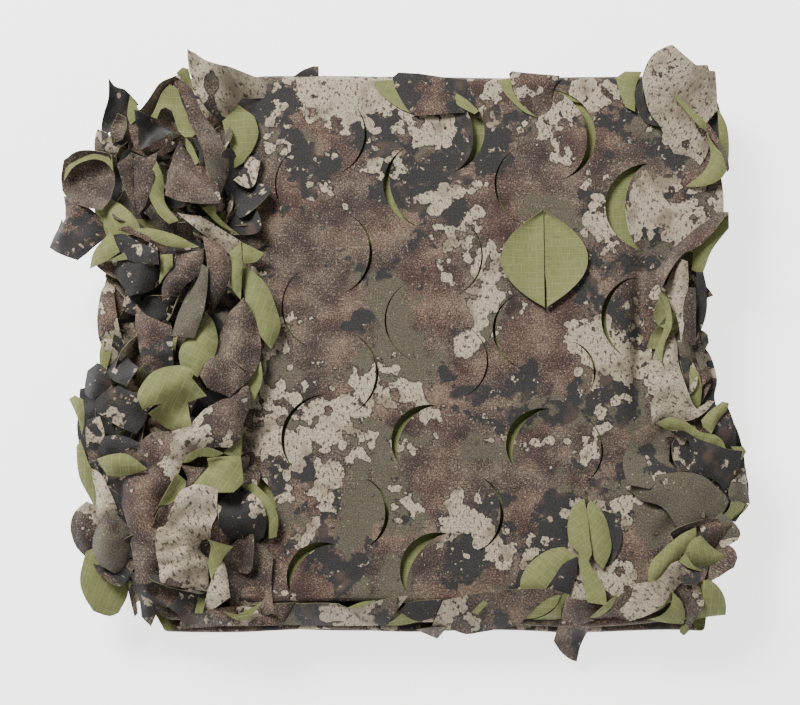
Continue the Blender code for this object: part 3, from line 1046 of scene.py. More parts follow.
def finish_cloth(name: str, bm: Mesh, materials: list) -> Piece:
    """Makes a piece of cloth from its surface in millimetres.

    Args:
        name: the piece's name.
        bm: the surface, its printed face outwards.
        materials: the printed face, the green face and the cut edge.

    Returns:
        The piece, riding on the body.
    """
    bmesh.ops.scale(bm, vec=(MM,) * 3, verts=bm.verts)
    for face in bm.faces:
        face.smooth = True
    for edge in bm.edges:
        edge.smooth = not edge.is_boundary
    mesh = bpy.data.meshes.new(name)
    bm.to_mesh(mesh)
    bm.free()
    piece = bpy.data.objects.new(name, mesh)
    bpy.context.scene.collection.objects.link(piece)
    for material in materials:
        mesh.materials.append(material)
    solidify = piece.modifiers.new("cloth", "SOLIDIFY")
    solidify.thickness = CLOTH * MM
    solidify.offset = 0.0
    solidify.material_offset = 1
    solidify.material_offset_rim = 2
    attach(piece, "root")
    return piece


# ---------------------------------------------------------------- the cut leaves

P, G = Face
MIX, BRN, PAL, DRK, OLV = Patch


@dataclass(frozen=True)
class Outline:
    """How a leaf is cut. Widths are shares of its widest place."""

    root: float  # width at the root
    widest: float  # the widest place, from the root, 0, to the tip, 1
    power: float  # how late the free end begins to narrow
    belly: float  # how full its sides are
    end: float = 0.03  # width of the very tip
    lean: float = 0.0  # how far the tip lies off the middle line
    slant: float = 0.0  # how obliquely the free end is cut

    def share(self, s: float) -> float:
        """Width at s from the root, 0, to the tip, 1, as a share of the widest."""
        if s < self.widest:
            near = (self.widest - s) / self.widest
            return self.root + (1 - self.root) * max(0.0, 1 - near * near) ** 0.7
        far = (s - self.widest) / (1 - self.widest)
        return self.end + (1 - self.end) * max(0.0, 1 - far**self.power) ** self.belly


class Form(Enum):
    """The cuts of the leaves that are spread by chance."""

    BLADE = Outline(0.45, 0.40, 1.8, 0.95, lean=0.10)
    SHARD = Outline(1.0, 0.02, 1.0, 0.92, lean=0.12)
    FLAP = Outline(0.85, 0.45, 4.0, 0.8, 0.42, lean=0.08, slant=0.5)
    CORNER = Outline(0.8, 0.4, 4.0, 0.8, 0.55, lean=0.05, slant=0.35)
    DISC = Outline(0.6, 0.45, 2.0, 0.5)
    SCALE = Outline(1.0, 0.04, 2.0, 0.5)


BLADE, SHARD, FLAP, CORNER, DISC, SCALE = Form


@dataclass(frozen=True)
class Leaf:
    """A leaf that the cutting frees, from its root in the cloth to its tip.

    x and y are its middle, and length and width its size, all seen from above. heading turns it from
    +X, base is its root's height over the surface and rise its tip's over the root. roll turns it on
    its own length, bend curls its length down, and cup curls its sides up, or down where negative.
    """

    x: float
    y: float
    length: float
    width: float
    heading: float
    base: float
    rise: float
    roll: float
    bend: float
    cup: float
    face: Face
    patch: Patch
    form: Form
    crumple: float


@dataclass
class LeafGroup:
    """Leaves that make one piece."""

    name: str
    rows: tuple
    seed: int

    def add(self, bm: Mesh, row: tuple | Leaf, number: int) -> None:
        """Adds the leaf of a row, which its kind of group draws."""
        raise NotImplementedError

    def creases(self, draw: random.Random, count: int, share: float, size: float, slopes: tuple) -> list:
        """Straight creases in a leaf, by seeded chance.

        Args:
            draw: the leaf's own source of chance.
            count: how many there are.
            share: how far from the leaf's middle they may lie, as a share of its size.
            size: its size.
            slopes: the slightest and the sharpest.

        Returns:
            The direction in radians, the distance and the slope of each.
        """
        folds = []
        for _ in range(count):
            way, distance = draw.uniform(0, math.pi), draw.uniform(-share, share) * size
            folds.append((way, distance, draw.uniform(*slopes) * draw.choice((-1, 1))))
        return folds

    def build(self, materials: list) -> Piece:
        """Builds the group.

        Args:
            materials: the printed face, the green face and the cut edge.

        Returns:
            The finished piece.
        """
        bm = new_bmesh()
        for number, row in enumerate(self.rows):
            self.add(bm, row, number)
        log.info("%s: %d leaves", self.name, len(self.rows))
        return finish_cloth(self.name, bm, materials)


@dataclass
class CutLeaves(LeafGroup):
    """Leaves that are each a soft curved flap of one of the known cuts."""

    steps_along: int = 8
    steps_across: int = 6
    folds: int = 2  # straight creases in a leaf

    def shaped(self, leaf: Leaf, size: tuple, s: float, side: float, number: int, folds: list) -> Vector:
        """A point of a leaf that lies along +X from the origin.

        Args:
            leaf: the leaf.
            size: its true length and width.
            s: from the root, 0, to the tip, 1.
            side: from one edge, -1, to the other, 1.
            number: sets its crumples apart from the other leaves'.
            folds: direction, distance and slope of each crease.

        Returns:
            The point.
        """
        cut = leaf.form.value
        length, width = size
        bend, cup = math.radians(leaf.bend), math.radians(leaf.cup)
        half = width / 2
        across = side * cut.share(s) * half
        lean = across / half * cup
        up = half / cup * (1 - math.cos(lean)) if cup else 0.0
        flat = half / cup * math.sin(lean) if cup else across
        flat += leaf.width * (cut.lean * s**1.6)
        s += cut.slant * across / length * s * s
        u, v = s * length, across
        up += leaf.crumple * (0.35 + 0.65 * s) * wander(200 + number, u / 15, v / 13)
        up += leaf.crumple * 2.2 * (0.25 - abs(wander(300 + number, u / 24, v / 15)))
        up += leaf.crumple * 1.2 * side * side * wander(400 + number, u / 12, side)
        for way, distance, slope in folds:
            away = (u - length / 2) * math.cos(way) + v * math.sin(way) - distance
            up += slope * leaf.crumple * (math.sqrt(away * away + 0.8) - 0.25 * length)
        curl = s * bend
        run = length / bend * math.sin(curl) if bend else length * s
        fall = length / bend * (1 - math.cos(curl)) if bend else 0.0
        return Vector((run + up * math.sin(curl), flat, up * math.cos(curl) - fall))

    def add(self, bm: Mesh, leaf: Leaf, number: int) -> None:
        """Adds one leaf.

        Args:
            bm: the group's mesh.
            leaf: the leaf.
            number: its place in the group.
        """
        draw = random.Random(self.seed * 1000 + number)
        offset = Vector((draw.uniform(0, 3000), draw.uniform(0, 3000)))
        way, roll = math.radians(leaf.heading), math.radians(leaf.roll)
        pitch, half_bend = math.atan2(leaf.rise, leaf.length), math.radians(leaf.bend) / 2
        cup = abs(math.radians(leaf.cup))
        length = leaf.length / math.cos(pitch) * (half_bend / math.sin(half_bend) if half_bend else 1.0)
        width = leaf.width / math.cos(roll) * (cup / math.sin(min(cup, math.pi / 2)) if cup else 1.0)
        root_x = leaf.x - leaf.length / 2 * math.cos(way)
        root_y = leaf.y - leaf.length / 2 * math.sin(way)
        place = Matrix.Translation((root_x, root_y, leaf.base)) @ Matrix.Rotation(way, 4, "Z")
        place @= Matrix.Rotation(-pitch - half_bend, 4, "Y") @ Matrix.Rotation(roll, 4, "X")
        folds = self.creases(draw, self.folds, 0.2, length, (0.06, 0.2))
        flat, patch = (bm.verts.layers.float_vector[name] for name in ("flat", "patch"))
        grid = bmesh.ops.create_grid(bm, x_segments=self.steps_along, y_segments=self.steps_across, size=1.0)
        for vert in grid["verts"]:
            s, side = (vert.co.x + 1) / 2, vert.co.y
            spot = Vector((s * length, side * leaf.form.value.share(s) * width / 2))
            vert[flat] = (spot + offset).to_3d() * MM
            vert[patch] = leaf.patch.value
            vert.co = place @ self.shaped(leaf, (length, width), s, side, number, folds)
            vert.co.z = min(TALLEST, max(vert.co.z, CLOTH))
        if leaf.face is Face.GREEN:
            bmesh.ops.reverse_faces(bm, faces=list({f for v in grid["verts"] for f in v.link_faces}))


LEFT_FLAPS = (  # face, patch, crown, crumple, then x, y and height of each corner
    # The first four rows are the crumpled cloth low under the leaves; the two cut from the dark print lie there
    # to darken the hollows, painted shade.
    (P, DRK, -4, 4.5, -190, 149, 50, -175, 155, 52, -165, 152, 50, -147, 159, 50, -135, 137, 48,
     -138, 96, 48, -157, 69, 48, -184, 57, 46, -195, 70, 44, -192, 98, 42, -191, 124, 46),
    (P, BRN, -4, 4.5, -191, 57, 48, -180, 69, 50, -156, 35, 50, -155, -18, 50, -180, -32, 48, -191, 0, 44),
    (P, DRK, -2, 4.5, -207, -29, 44, -187, -28, 50, -173, -64, 50, -175, -115, 46, -189, -117, 40,
     -200, -89, 42, -208, -56, 42),
    (P, BRN, -2, 3, -198, -113, 34, -173, -102, 44, -144, -140, 40, -146, -168, 30, -161, -164, 24,
     -180, -148, 26, -195, -129, 28),
    (P, PAL, 2, 2.2, -138, 187, 96, -121, 177, 88, -108, 178, 72, -86, 176, 57, -90, 165, 54,
     -104, 163, 56, -116, 145, 57, -127, 153, 66, -134, 167, 78, -137, 175, 86),
    (G, MIX, 2, 0.8, -115, 167, 61, -107, 159, 58, -96, 151, 57, -93, 140, 56, -96, 130, 55, -101, 122, 55,
     -114, 113, 55, -112, 127, 58, -116, 144, 60, -118, 155, 62),
    (G, MIX, 1, 0.6, -111, 132, 61, -99, 126, 58, -103, 119, 57, -114, 112, 56, -112, 124, 59),
    (P, BRN, 1, 1.2, -169, 146, 82, -163, 151, 86, -153, 162, 91, -145, 166, 93, -142, 165, 92,
     -147, 162, 86, -153, 157, 83, -158, 148, 78, -160, 143, 75, -164, 142, 77),
    (G, MIX, -1, 0.6, -161, 143, 80, -158, 147, 83, -153, 157, 88, -148, 161, 91, -143, 158, 90,
     -140, 149, 88, -135, 139, 84, -132, 131, 80, -134, 129, 79, -139, 129, 79, -143, 133, 80,
     -145, 139, 83, -147, 145, 86, -151, 147, 87, -154, 146, 86, -157, 141, 82),
    (P, MIX, 4, 2.7, -145, 166, 94, -139, 165, 91, -134, 159, 86, -128, 146, 80, -119, 135, 73,
     -112, 120, 66, -112, 110, 63, -117, 89, 60, -122, 100, 70, -127, 118, 78, -131, 129, 83,
     -136, 138, 87, -138, 148, 91, -141, 156, 93, -146, 161, 94),
    (G, MIX, 1, 0.5, -145, 171, 84, -141, 175, 84, -137, 174, 84, -134, 160, 74, -136, 160, 73,
     -140, 167, 80),
    (G, MIX, 1, 0.5, -138, 128, 82, -135, 125, 81, -131, 117, 80, -129, 112, 79, -132, 111, 78,
     -136, 118, 79, -138, 122, 81),
    (P, DRK, 0, 0.4, -134, 127, 86, -130, 126, 86, -127, 120, 84, -127, 113, 82, -130, 111, 81,
     -129, 118, 82, -132, 124, 84),
    (P, DRK, -3, 3, -187, 164, 94, -184, 160, 90, -175, 156, 83, -169, 151, 79, -178, 148, 76,
     -184, 144, 74, -188, 135, 72, -193, 128, 68, -194, 140, 74, -190, 150, 82, -188, 155, 88),
    (P, BRN, -2, 2.2, -183, 146, 82, -178, 144, 80, -177, 135, 76, -180, 130, 70, -187, 128, 68,
     -187, 139, 74),
    (P, MIX, 2, 1.5, -197, 138, 70, -190, 134, 72, -186, 128, 68, -193, 122, 64, -199, 124, 62,
     -199, 132, 66),
    (G, MIX, 1, 0.5, -174, 155, 88, -170, 150, 86, -168, 142, 83, -174, 137, 81, -176, 143, 83),
    (P, DRK, 4, 6, -170, 143, 80, -158, 140, 82, -149, 139, 76, -148, 130, 71, -158, 122, 70,
     -166, 121, 71, -170, 129, 76),
    (P, BRN, 1, 1.5, -175, 137, 82, -169, 136, 82, -169, 128, 78, -167, 121, 76, -171, 122, 76,
     -174, 130, 79),
    (P, DRK, 2, 1.8, -189, 126, 80, -181, 122, 80, -183, 118, 76, -192, 119, 74, -195, 121, 74),
    (P, BRN, 2, 1.5, -182, 110, 84, -172, 117, 86, -171, 105, 78, -171, 83, 72, -177, 95, 80),
    (P, BRN, 3, 1.5, -172, 117, 86, -163, 114, 85, -156, 118, 86, -158, 98, 84, -164, 84, 79, -169, 80, 74,
     -171, 83, 72, -171, 105, 78),
    (G, MIX, 2, 0.8, -156, 111, 84, -152, 101, 82, -151, 86, 79, -142, 74, 76, -148, 72, 75, -154, 77, 77,
     -160, 87, 80, -162, 96, 82, -159, 105, 84),
    (P, BRN, 2, 3, -165, 81, 76, -160, 84, 77, -153, 75, 75, -143, 73, 74, -133, 74, 72, -139, 65, 66,
     -152, 68, 68, -160, 77, 72),
    (P, BRN, 6, 3, -142, 125, 84, -129, 111, 84, -125, 109, 84, -115, 84, 86, -126, 81, 86, -137, 82, 83,
     -150, 88, 79, -149, 102, 80, -146, 117, 82),
    (P, PAL, 2, 2.4, -129, 115, 80, -120, 105, 77, -115, 88, 74, -117, 84, 73, -125, 105, 78),
    (P, BRN, -4, 3, -217, 115, 72, -209, 119, 75, -200, 120, 77, -187, 118, 77, -184, 101, 75,
     -186, 89, 76, -191, 80, 74, -204, 83, 73, -217, 94, 68, -220, 105, 66),
    (G, MIX, 0, 0.5, -218, 103, 68, -216, 114, 74, -209, 119, 76, -200, 120, 78, -186, 118, 78,
     -185, 107, 77, -190, 113, 78, -198, 115, 77, -207, 113, 76, -212, 110, 74),
    (P, DRK, 5, 3, -217, 92, 74, -207, 87, 78, -195, 79, 79, -187, 67, 79, -198, 56, 76, -200, 54, 74,
     -207, 50, 66, -219, 55, 60, -227, 61, 56, -223, 70, 62, -216, 78, 68, -216, 86, 72),
    (G, MIX, 0, 0.5, -227, 61, 57, -219, 79, 64, -217, 71, 62, -221, 65, 59),
    (G, MIX, 3, 0.8, -199, 44, 70, -196, 55, 74, -185, 67, 79, -179, 53, 78, -189, 47, 76),
    (G, MIX, 1, 0.5, -186, 48, 76, -176, 53, 78, -172, 49, 77, -179, 48, 76),
    (P, BRN, 1, 1.5, -180, 66, 80, -174, 69, 82, -161, 62, 82, -145, 56, 82, -151, 55, 79, -163, 60, 79,
     -176, 65, 79),
    (G, MIX, 2, 0.8, -174, 67, 83, -161, 67, 84, -144, 63, 84, -128, 56, 82, -137, 55, 82, -149, 56, 83,
     -161, 61, 83),
    (P, DRK, 3, 2.2, -181, 49, 74, -169, 46, 76, -154, 43, 78, -153, 36, 74, -162, 29, 70, -173, 26, 67,
     -180, 36, 70, -185, 43, 72),
    (P, DRK, 4, 2.2, -183, 63, 81, -177, 64, 82, -166, 59, 82, -154, 52, 81, -153, 43, 78, -162, 45, 77,
     -171, 47, 77, -179, 54, 79),
    (G, MIX, 2, 0.6, -153, 51, 80, -145, 51, 80, -145, 44, 78, -154, 33, 74, -153, 43, 77),
    (P, BRN, 5, 3, -144, 55, 81, -126, 56, 82, -126, 47, 82, -129, 38, 78, -138, 29, 73, -152, 23, 66,
     -152, 31, 70, -145, 44, 78),
    (P, BRN, 5, 3, -126, 63, 78, -113, 56, 78, -108, 46, 77, -108, 39, 75, -113, 27, 70, -122, 16, 63,
     -124, 31, 69, -123, 44, 74),
    (P, OLV, 4, 3, -126, 45, 82, -122, 42, 82, -123, 28, 80, -124, 14, 80, -130, -4, 79, -144, -3, 74,
     -142, 12, 74, -133, 32, 77),
    (G, MIX, 2, 0.6, -102, 60, 76, -101, 49, 74, -102, 24, 66, -107, 30, 69, -109, 37, 72, -108, 45, 74,
     -109, 53, 76),
    (P, PAL, 2, 3, -143, 79, 78, -128, 76, 78, -113, 69, 73, -102, 63, 68, -110, 55, 71, -121, 63, 73,
     -130, 68, 74),
    (G, MIX, 1, 0.6, -127, 81, 82, -118, 83, 82, -118, 78, 80, -113, 73, 76, -103, 66, 70, -116, 72, 75),
    (G, MIX, 1, 0.5, -102, 63, 64, -88, 57, 61, -93, 51, 61, -101, 49, 63),
    (G, MIX, 3, 0.8, -103, 49, 64, -95, 44, 64, -86, 35, 63, -80, 21, 62, -77, 8, 61, -83, -6, 60,
     -89, 1, 61, -96, 14, 62, -100, 28, 63),
    (P, PAL, 3, 2.4, -193, 33, 66, -189, 39, 68, -184, 40, 69, -184, 28, 68, -178, -1, 64, -188, -10, 60,
     -193, 0, 60, -194, 20, 62),
    (P, DRK, 4, 3, -169, 21, 74, -161, 12, 77, -145, 5, 80, -143, -20, 80, -152, -24, 78, -161, -26, 77,
     -165, -10, 76, -168, 6, 75),
    (G, MIX, 5, 1, -124, 16, 70, -119, 9, 71, -116, -5, 72, -120, -19, 75, -128, -28, 78, -139, -21, 78,
     -140, -12, 77, -135, -2, 75),
    (G, MIX, 1, 0.6, -192, -19, 62, -192, -8, 63, -187, 5, 64, -184, 5, 64, -184, -6, 64, -188, -21, 62),
    (P, DRK, 2, 4.5, -182, 1, 70, -177, -3, 71, -174, -13, 69, -164, -24, 70, -172, -35, 66, -182, -29, 68,
     -189, -20, 66),
    (G, MIX, 3, 2.6, -164, -43, 81, -162, -36, 81, -155, -27, 81, -147, -23, 81, -137, -22, 81,
     -129, -26, 81, -131, -30, 80, -122, -40, 80, -134, -44, 82, -133, -51, 82, -131, -59, 82,
     -139, -62, 80, -147, -60, 79, -158, -53, 79, -149, -47, 84, -153, -48, 82, -161, -51, 79),
    (P, DRK, 4, 2.2, -201, -33, 66, -199, -22, 70, -192, -18, 73, -186, -23, 74, -182, -32, 74,
     -188, -38, 72, -193, -44, 70, -200, -37, 67),
    (P, DRK, 5, 3, -192, -45, 75, -186, -37, 78, -177, -34, 79, -170, -38, 79, -162, -40, 78,
     -159, -53, 77, -166, -64, 75, -179, -59, 75, -190, -52, 73),
    (P, BRN, 6, 3.3, -116, -1, 68, -110, 13, 70, -100, 25, 70, -93, 12, 70, -89, -3, 70, -89, -11, 69,
     -92, -22, 69, -97, -29, 69, -108, -40, 70, -122, -35, 72, -126, -28, 74, -121, -13, 72),
    (P, BRN, 9, 3.9, -108, -39, 72, -97, -29, 70, -95, -43, 69, -99, -57, 69, -101, -68, 70, -107, -73, 71,
     -115, -73, 74, -121, -74, 76, -131, -77, 78, -137, -85, 80, -138, -89, 80, -146, -102, 75,
     -154, -116, 70, -152, -125, 69, -150, -145, 66, -151, -154, 62, -158, -158, 60, -165, -157, 59,
     -169, -134, 59, -175, -109, 61, -180, -97, 65, -181, -91, 71, -176, -91, 75, -167, -90, 77,
     -158, -86, 78, -166, -81, 79, -164, -72, 80, -156, -64, 79, -139, -61, 79, -132, -57, 78,
     -121, -46, 75),
    (G, MIX, 1, 0.5, -89, -15, 63, -88, -27, 62, -92, -38, 61, -95, -44, 60, -97, -32, 62, -92, -20, 63),
    (G, MIX, 1, 0.5, -99, -52, 67, -100, -72, 68, -101, -80, 70, -111, -76, 72, -105, -68, 70),
    (G, MIX, 4, 1.6, -130, -98, 80, -120, -85, 78, -121, -80, 76, -107, -79, 77, -100, -79, 77,
     -98, -95, 75, -104, -102, 75, -114, -102, 77, -121, -98, 78),
    (G, DRK, 1, 0.6, -136, -84, 84, -131, -78, 85, -120, -75, 86, -110, -78, 85, -116, -80, 83,
     -126, -80, 82, -131, -83, 82),
    (P, BRN, 0, 1.8, -137, -85, 80, -122, -86, 76, -129, -95, 76, -133, -98, 76, -134, -90, 78),
    (G, MIX, 3, 0.8, -190, -81, 79, -183, -79, 81, -172, -78, 81, -166, -81, 81, -158, -87, 82,
     -167, -90, 79, -176, -92, 78, -183, -91, 77),
    (P, DRK, 4, 2.2, -189, -74, 77, -185, -67, 80, -174, -66, 81, -163, -71, 81, -171, -75, 80,
     -179, -78, 78, -190, -78, 76),
    (P, MIX, 3, 2.2, -199, -67, 64, -199, -53, 68, -190, -52, 71, -187, -63, 69, -192, -79, 66,
     -197, -81, 63),
    (G, DRK, 2, 1, -212, -38, 58, -208, -36, 60, -202, -40, 62, -201, -52, 60, -203, -62, 56,
     -206, -50, 57),
    (G, DRK, 2, 1, -207, -68, 50, -204, -65, 53, -198, -80, 54, -193, -90, 52, -193, -100, 50,
     -195, -107, 46, -198, -101, 46, -205, -87, 48),
    (P, PAL, 3, 2.2, -198, -82, 56, -190, -87, 62, -181, -103, 64, -178, -112, 62, -186, -117, 57,
     -193, -116, 52, -193, -100, 52),
    (G, MIX, -4, 1, -150, -111, 82, -139, -91, 88, -133, -96, 84, -134, -103, 83, -139, -108, 80,
     -145, -110, 80),
    (P, BRN, -2, 2.2, -155, -123, 76, -150, -112, 79, -138, -107, 80, -144, -119, 76, -152, -123, 74),
    (P, PAL, 5, 6.8, -152, -123, 76, -144, -116, 80, -138, -104, 82, -128, -99, 82, -112, -103, 80,
     -113, -118, 78, -119, -129, 75, -121, -139, 73, -120, -162, 66, -126, -161, 67, -143, -160, 69,
     -148, -158, 70, -150, -148, 71, -152, -133, 73),
    (P, DRK, 6, 3, -115, -107, 66, -108, -101, 68, -95, -99, 67, -87, -107, 64, -84, -117, 62,
     -86, -127, 59, -96, -131, 58, -107, -129, 60, -113, -122, 64),
    (G, MIX, 1, 0.6, -100, -95, 64, -92, -94, 63, -83, -103, 62, -77, -115, 60, -78, -127, 58,
     -83, -128, 58, -83, -116, 61, -89, -105, 63),
    (P, BRN, 3, 2.2, -210, -119, 46, -207, -110, 49, -199, -104, 52, -191, -108, 54, -191, -121, 52,
     -193, -131, 49, -199, -139, 44, -206, -132, 44, -209, -125, 45),
    (G, MIX, 4, 1, -203, -152, 42, -199, -136, 47, -193, -133, 48, -186, -139, 49, -174, -143, 48,
     -173, -147, 46, -173, -162, 42, -179, -173, 37, -185, -175, 36, -195, -172, 37, -201, -162, 39),
    (P, OLV, 5, 2.7, -194, -133, 58, -191, -118, 63, -180, -112, 66, -171, -122, 66, -169, -132, 63,
     -172, -147, 58, -180, -150, 54, -189, -145, 55),
    (P, DRK, 4, 3.3, -173, -148, 50, -164, -151, 56, -152, -154, 58, -123, -159, 58, -131, -174, 50,
     -138, -177, 46, -147, -170, 44, -154, -170, 40, -159, -181, 30, -165, -175, 33, -166, -164, 44),
    (P, BRN, 1, 1.5, -173, -151, 50, -169, -154, 50, -166, -174, 38, -168, -176, 36, -172, -162, 42),
    (P, PAL, 3, 2.4, -125, -174, 54, -119, -158, 62, -113, -141, 67, -110, -145, 67, -106, -166, 60,
     -114, -171, 56),
    (G, MIX, 2, 0.6, -120, -131, 76, -104, -135, 71, -110, -141, 69, -118, -155, 66, -120, -145, 68,
     -118, -135, 72),
    (P, BRN, 4, 3.6, -111, -137, 62, -102, -129, 62, -89, -131, 53, -80, -139, 46, -81, -158, 45,
     -79, -175, 44, -99, -178, 49, -107, -171, 55, -107, -164, 58, -110, -147, 61),
    (P, BRN, 2, 2.2, -140, -180, 44, -137, -175, 48, -127, -168, 52, -123, -173, 52, -107, -171, 53,
     -92, -171, 51, -74, -177, 49, -80, -182, 46, -115, -182, 43, -138, -183, 41),
    (G, DRK, 1, 0.5, -129, -175, 55, -127, -165, 56, -122, -166, 56, -124, -175, 55),
    (G, MIX, 1, 0.5, -111, -174, 57, -102, -176, 56, -86, -168, 56, -96, -179, 54, -103, -179, 54),
    (G, DRK, 2, 1, -198, 87, 66, -187, 91, 70, -178, 85, 72, -168, 73, 73, -167, 67, 73, -178, 65, 73,
     -184, 63, 73, -195, 69, 68),
)

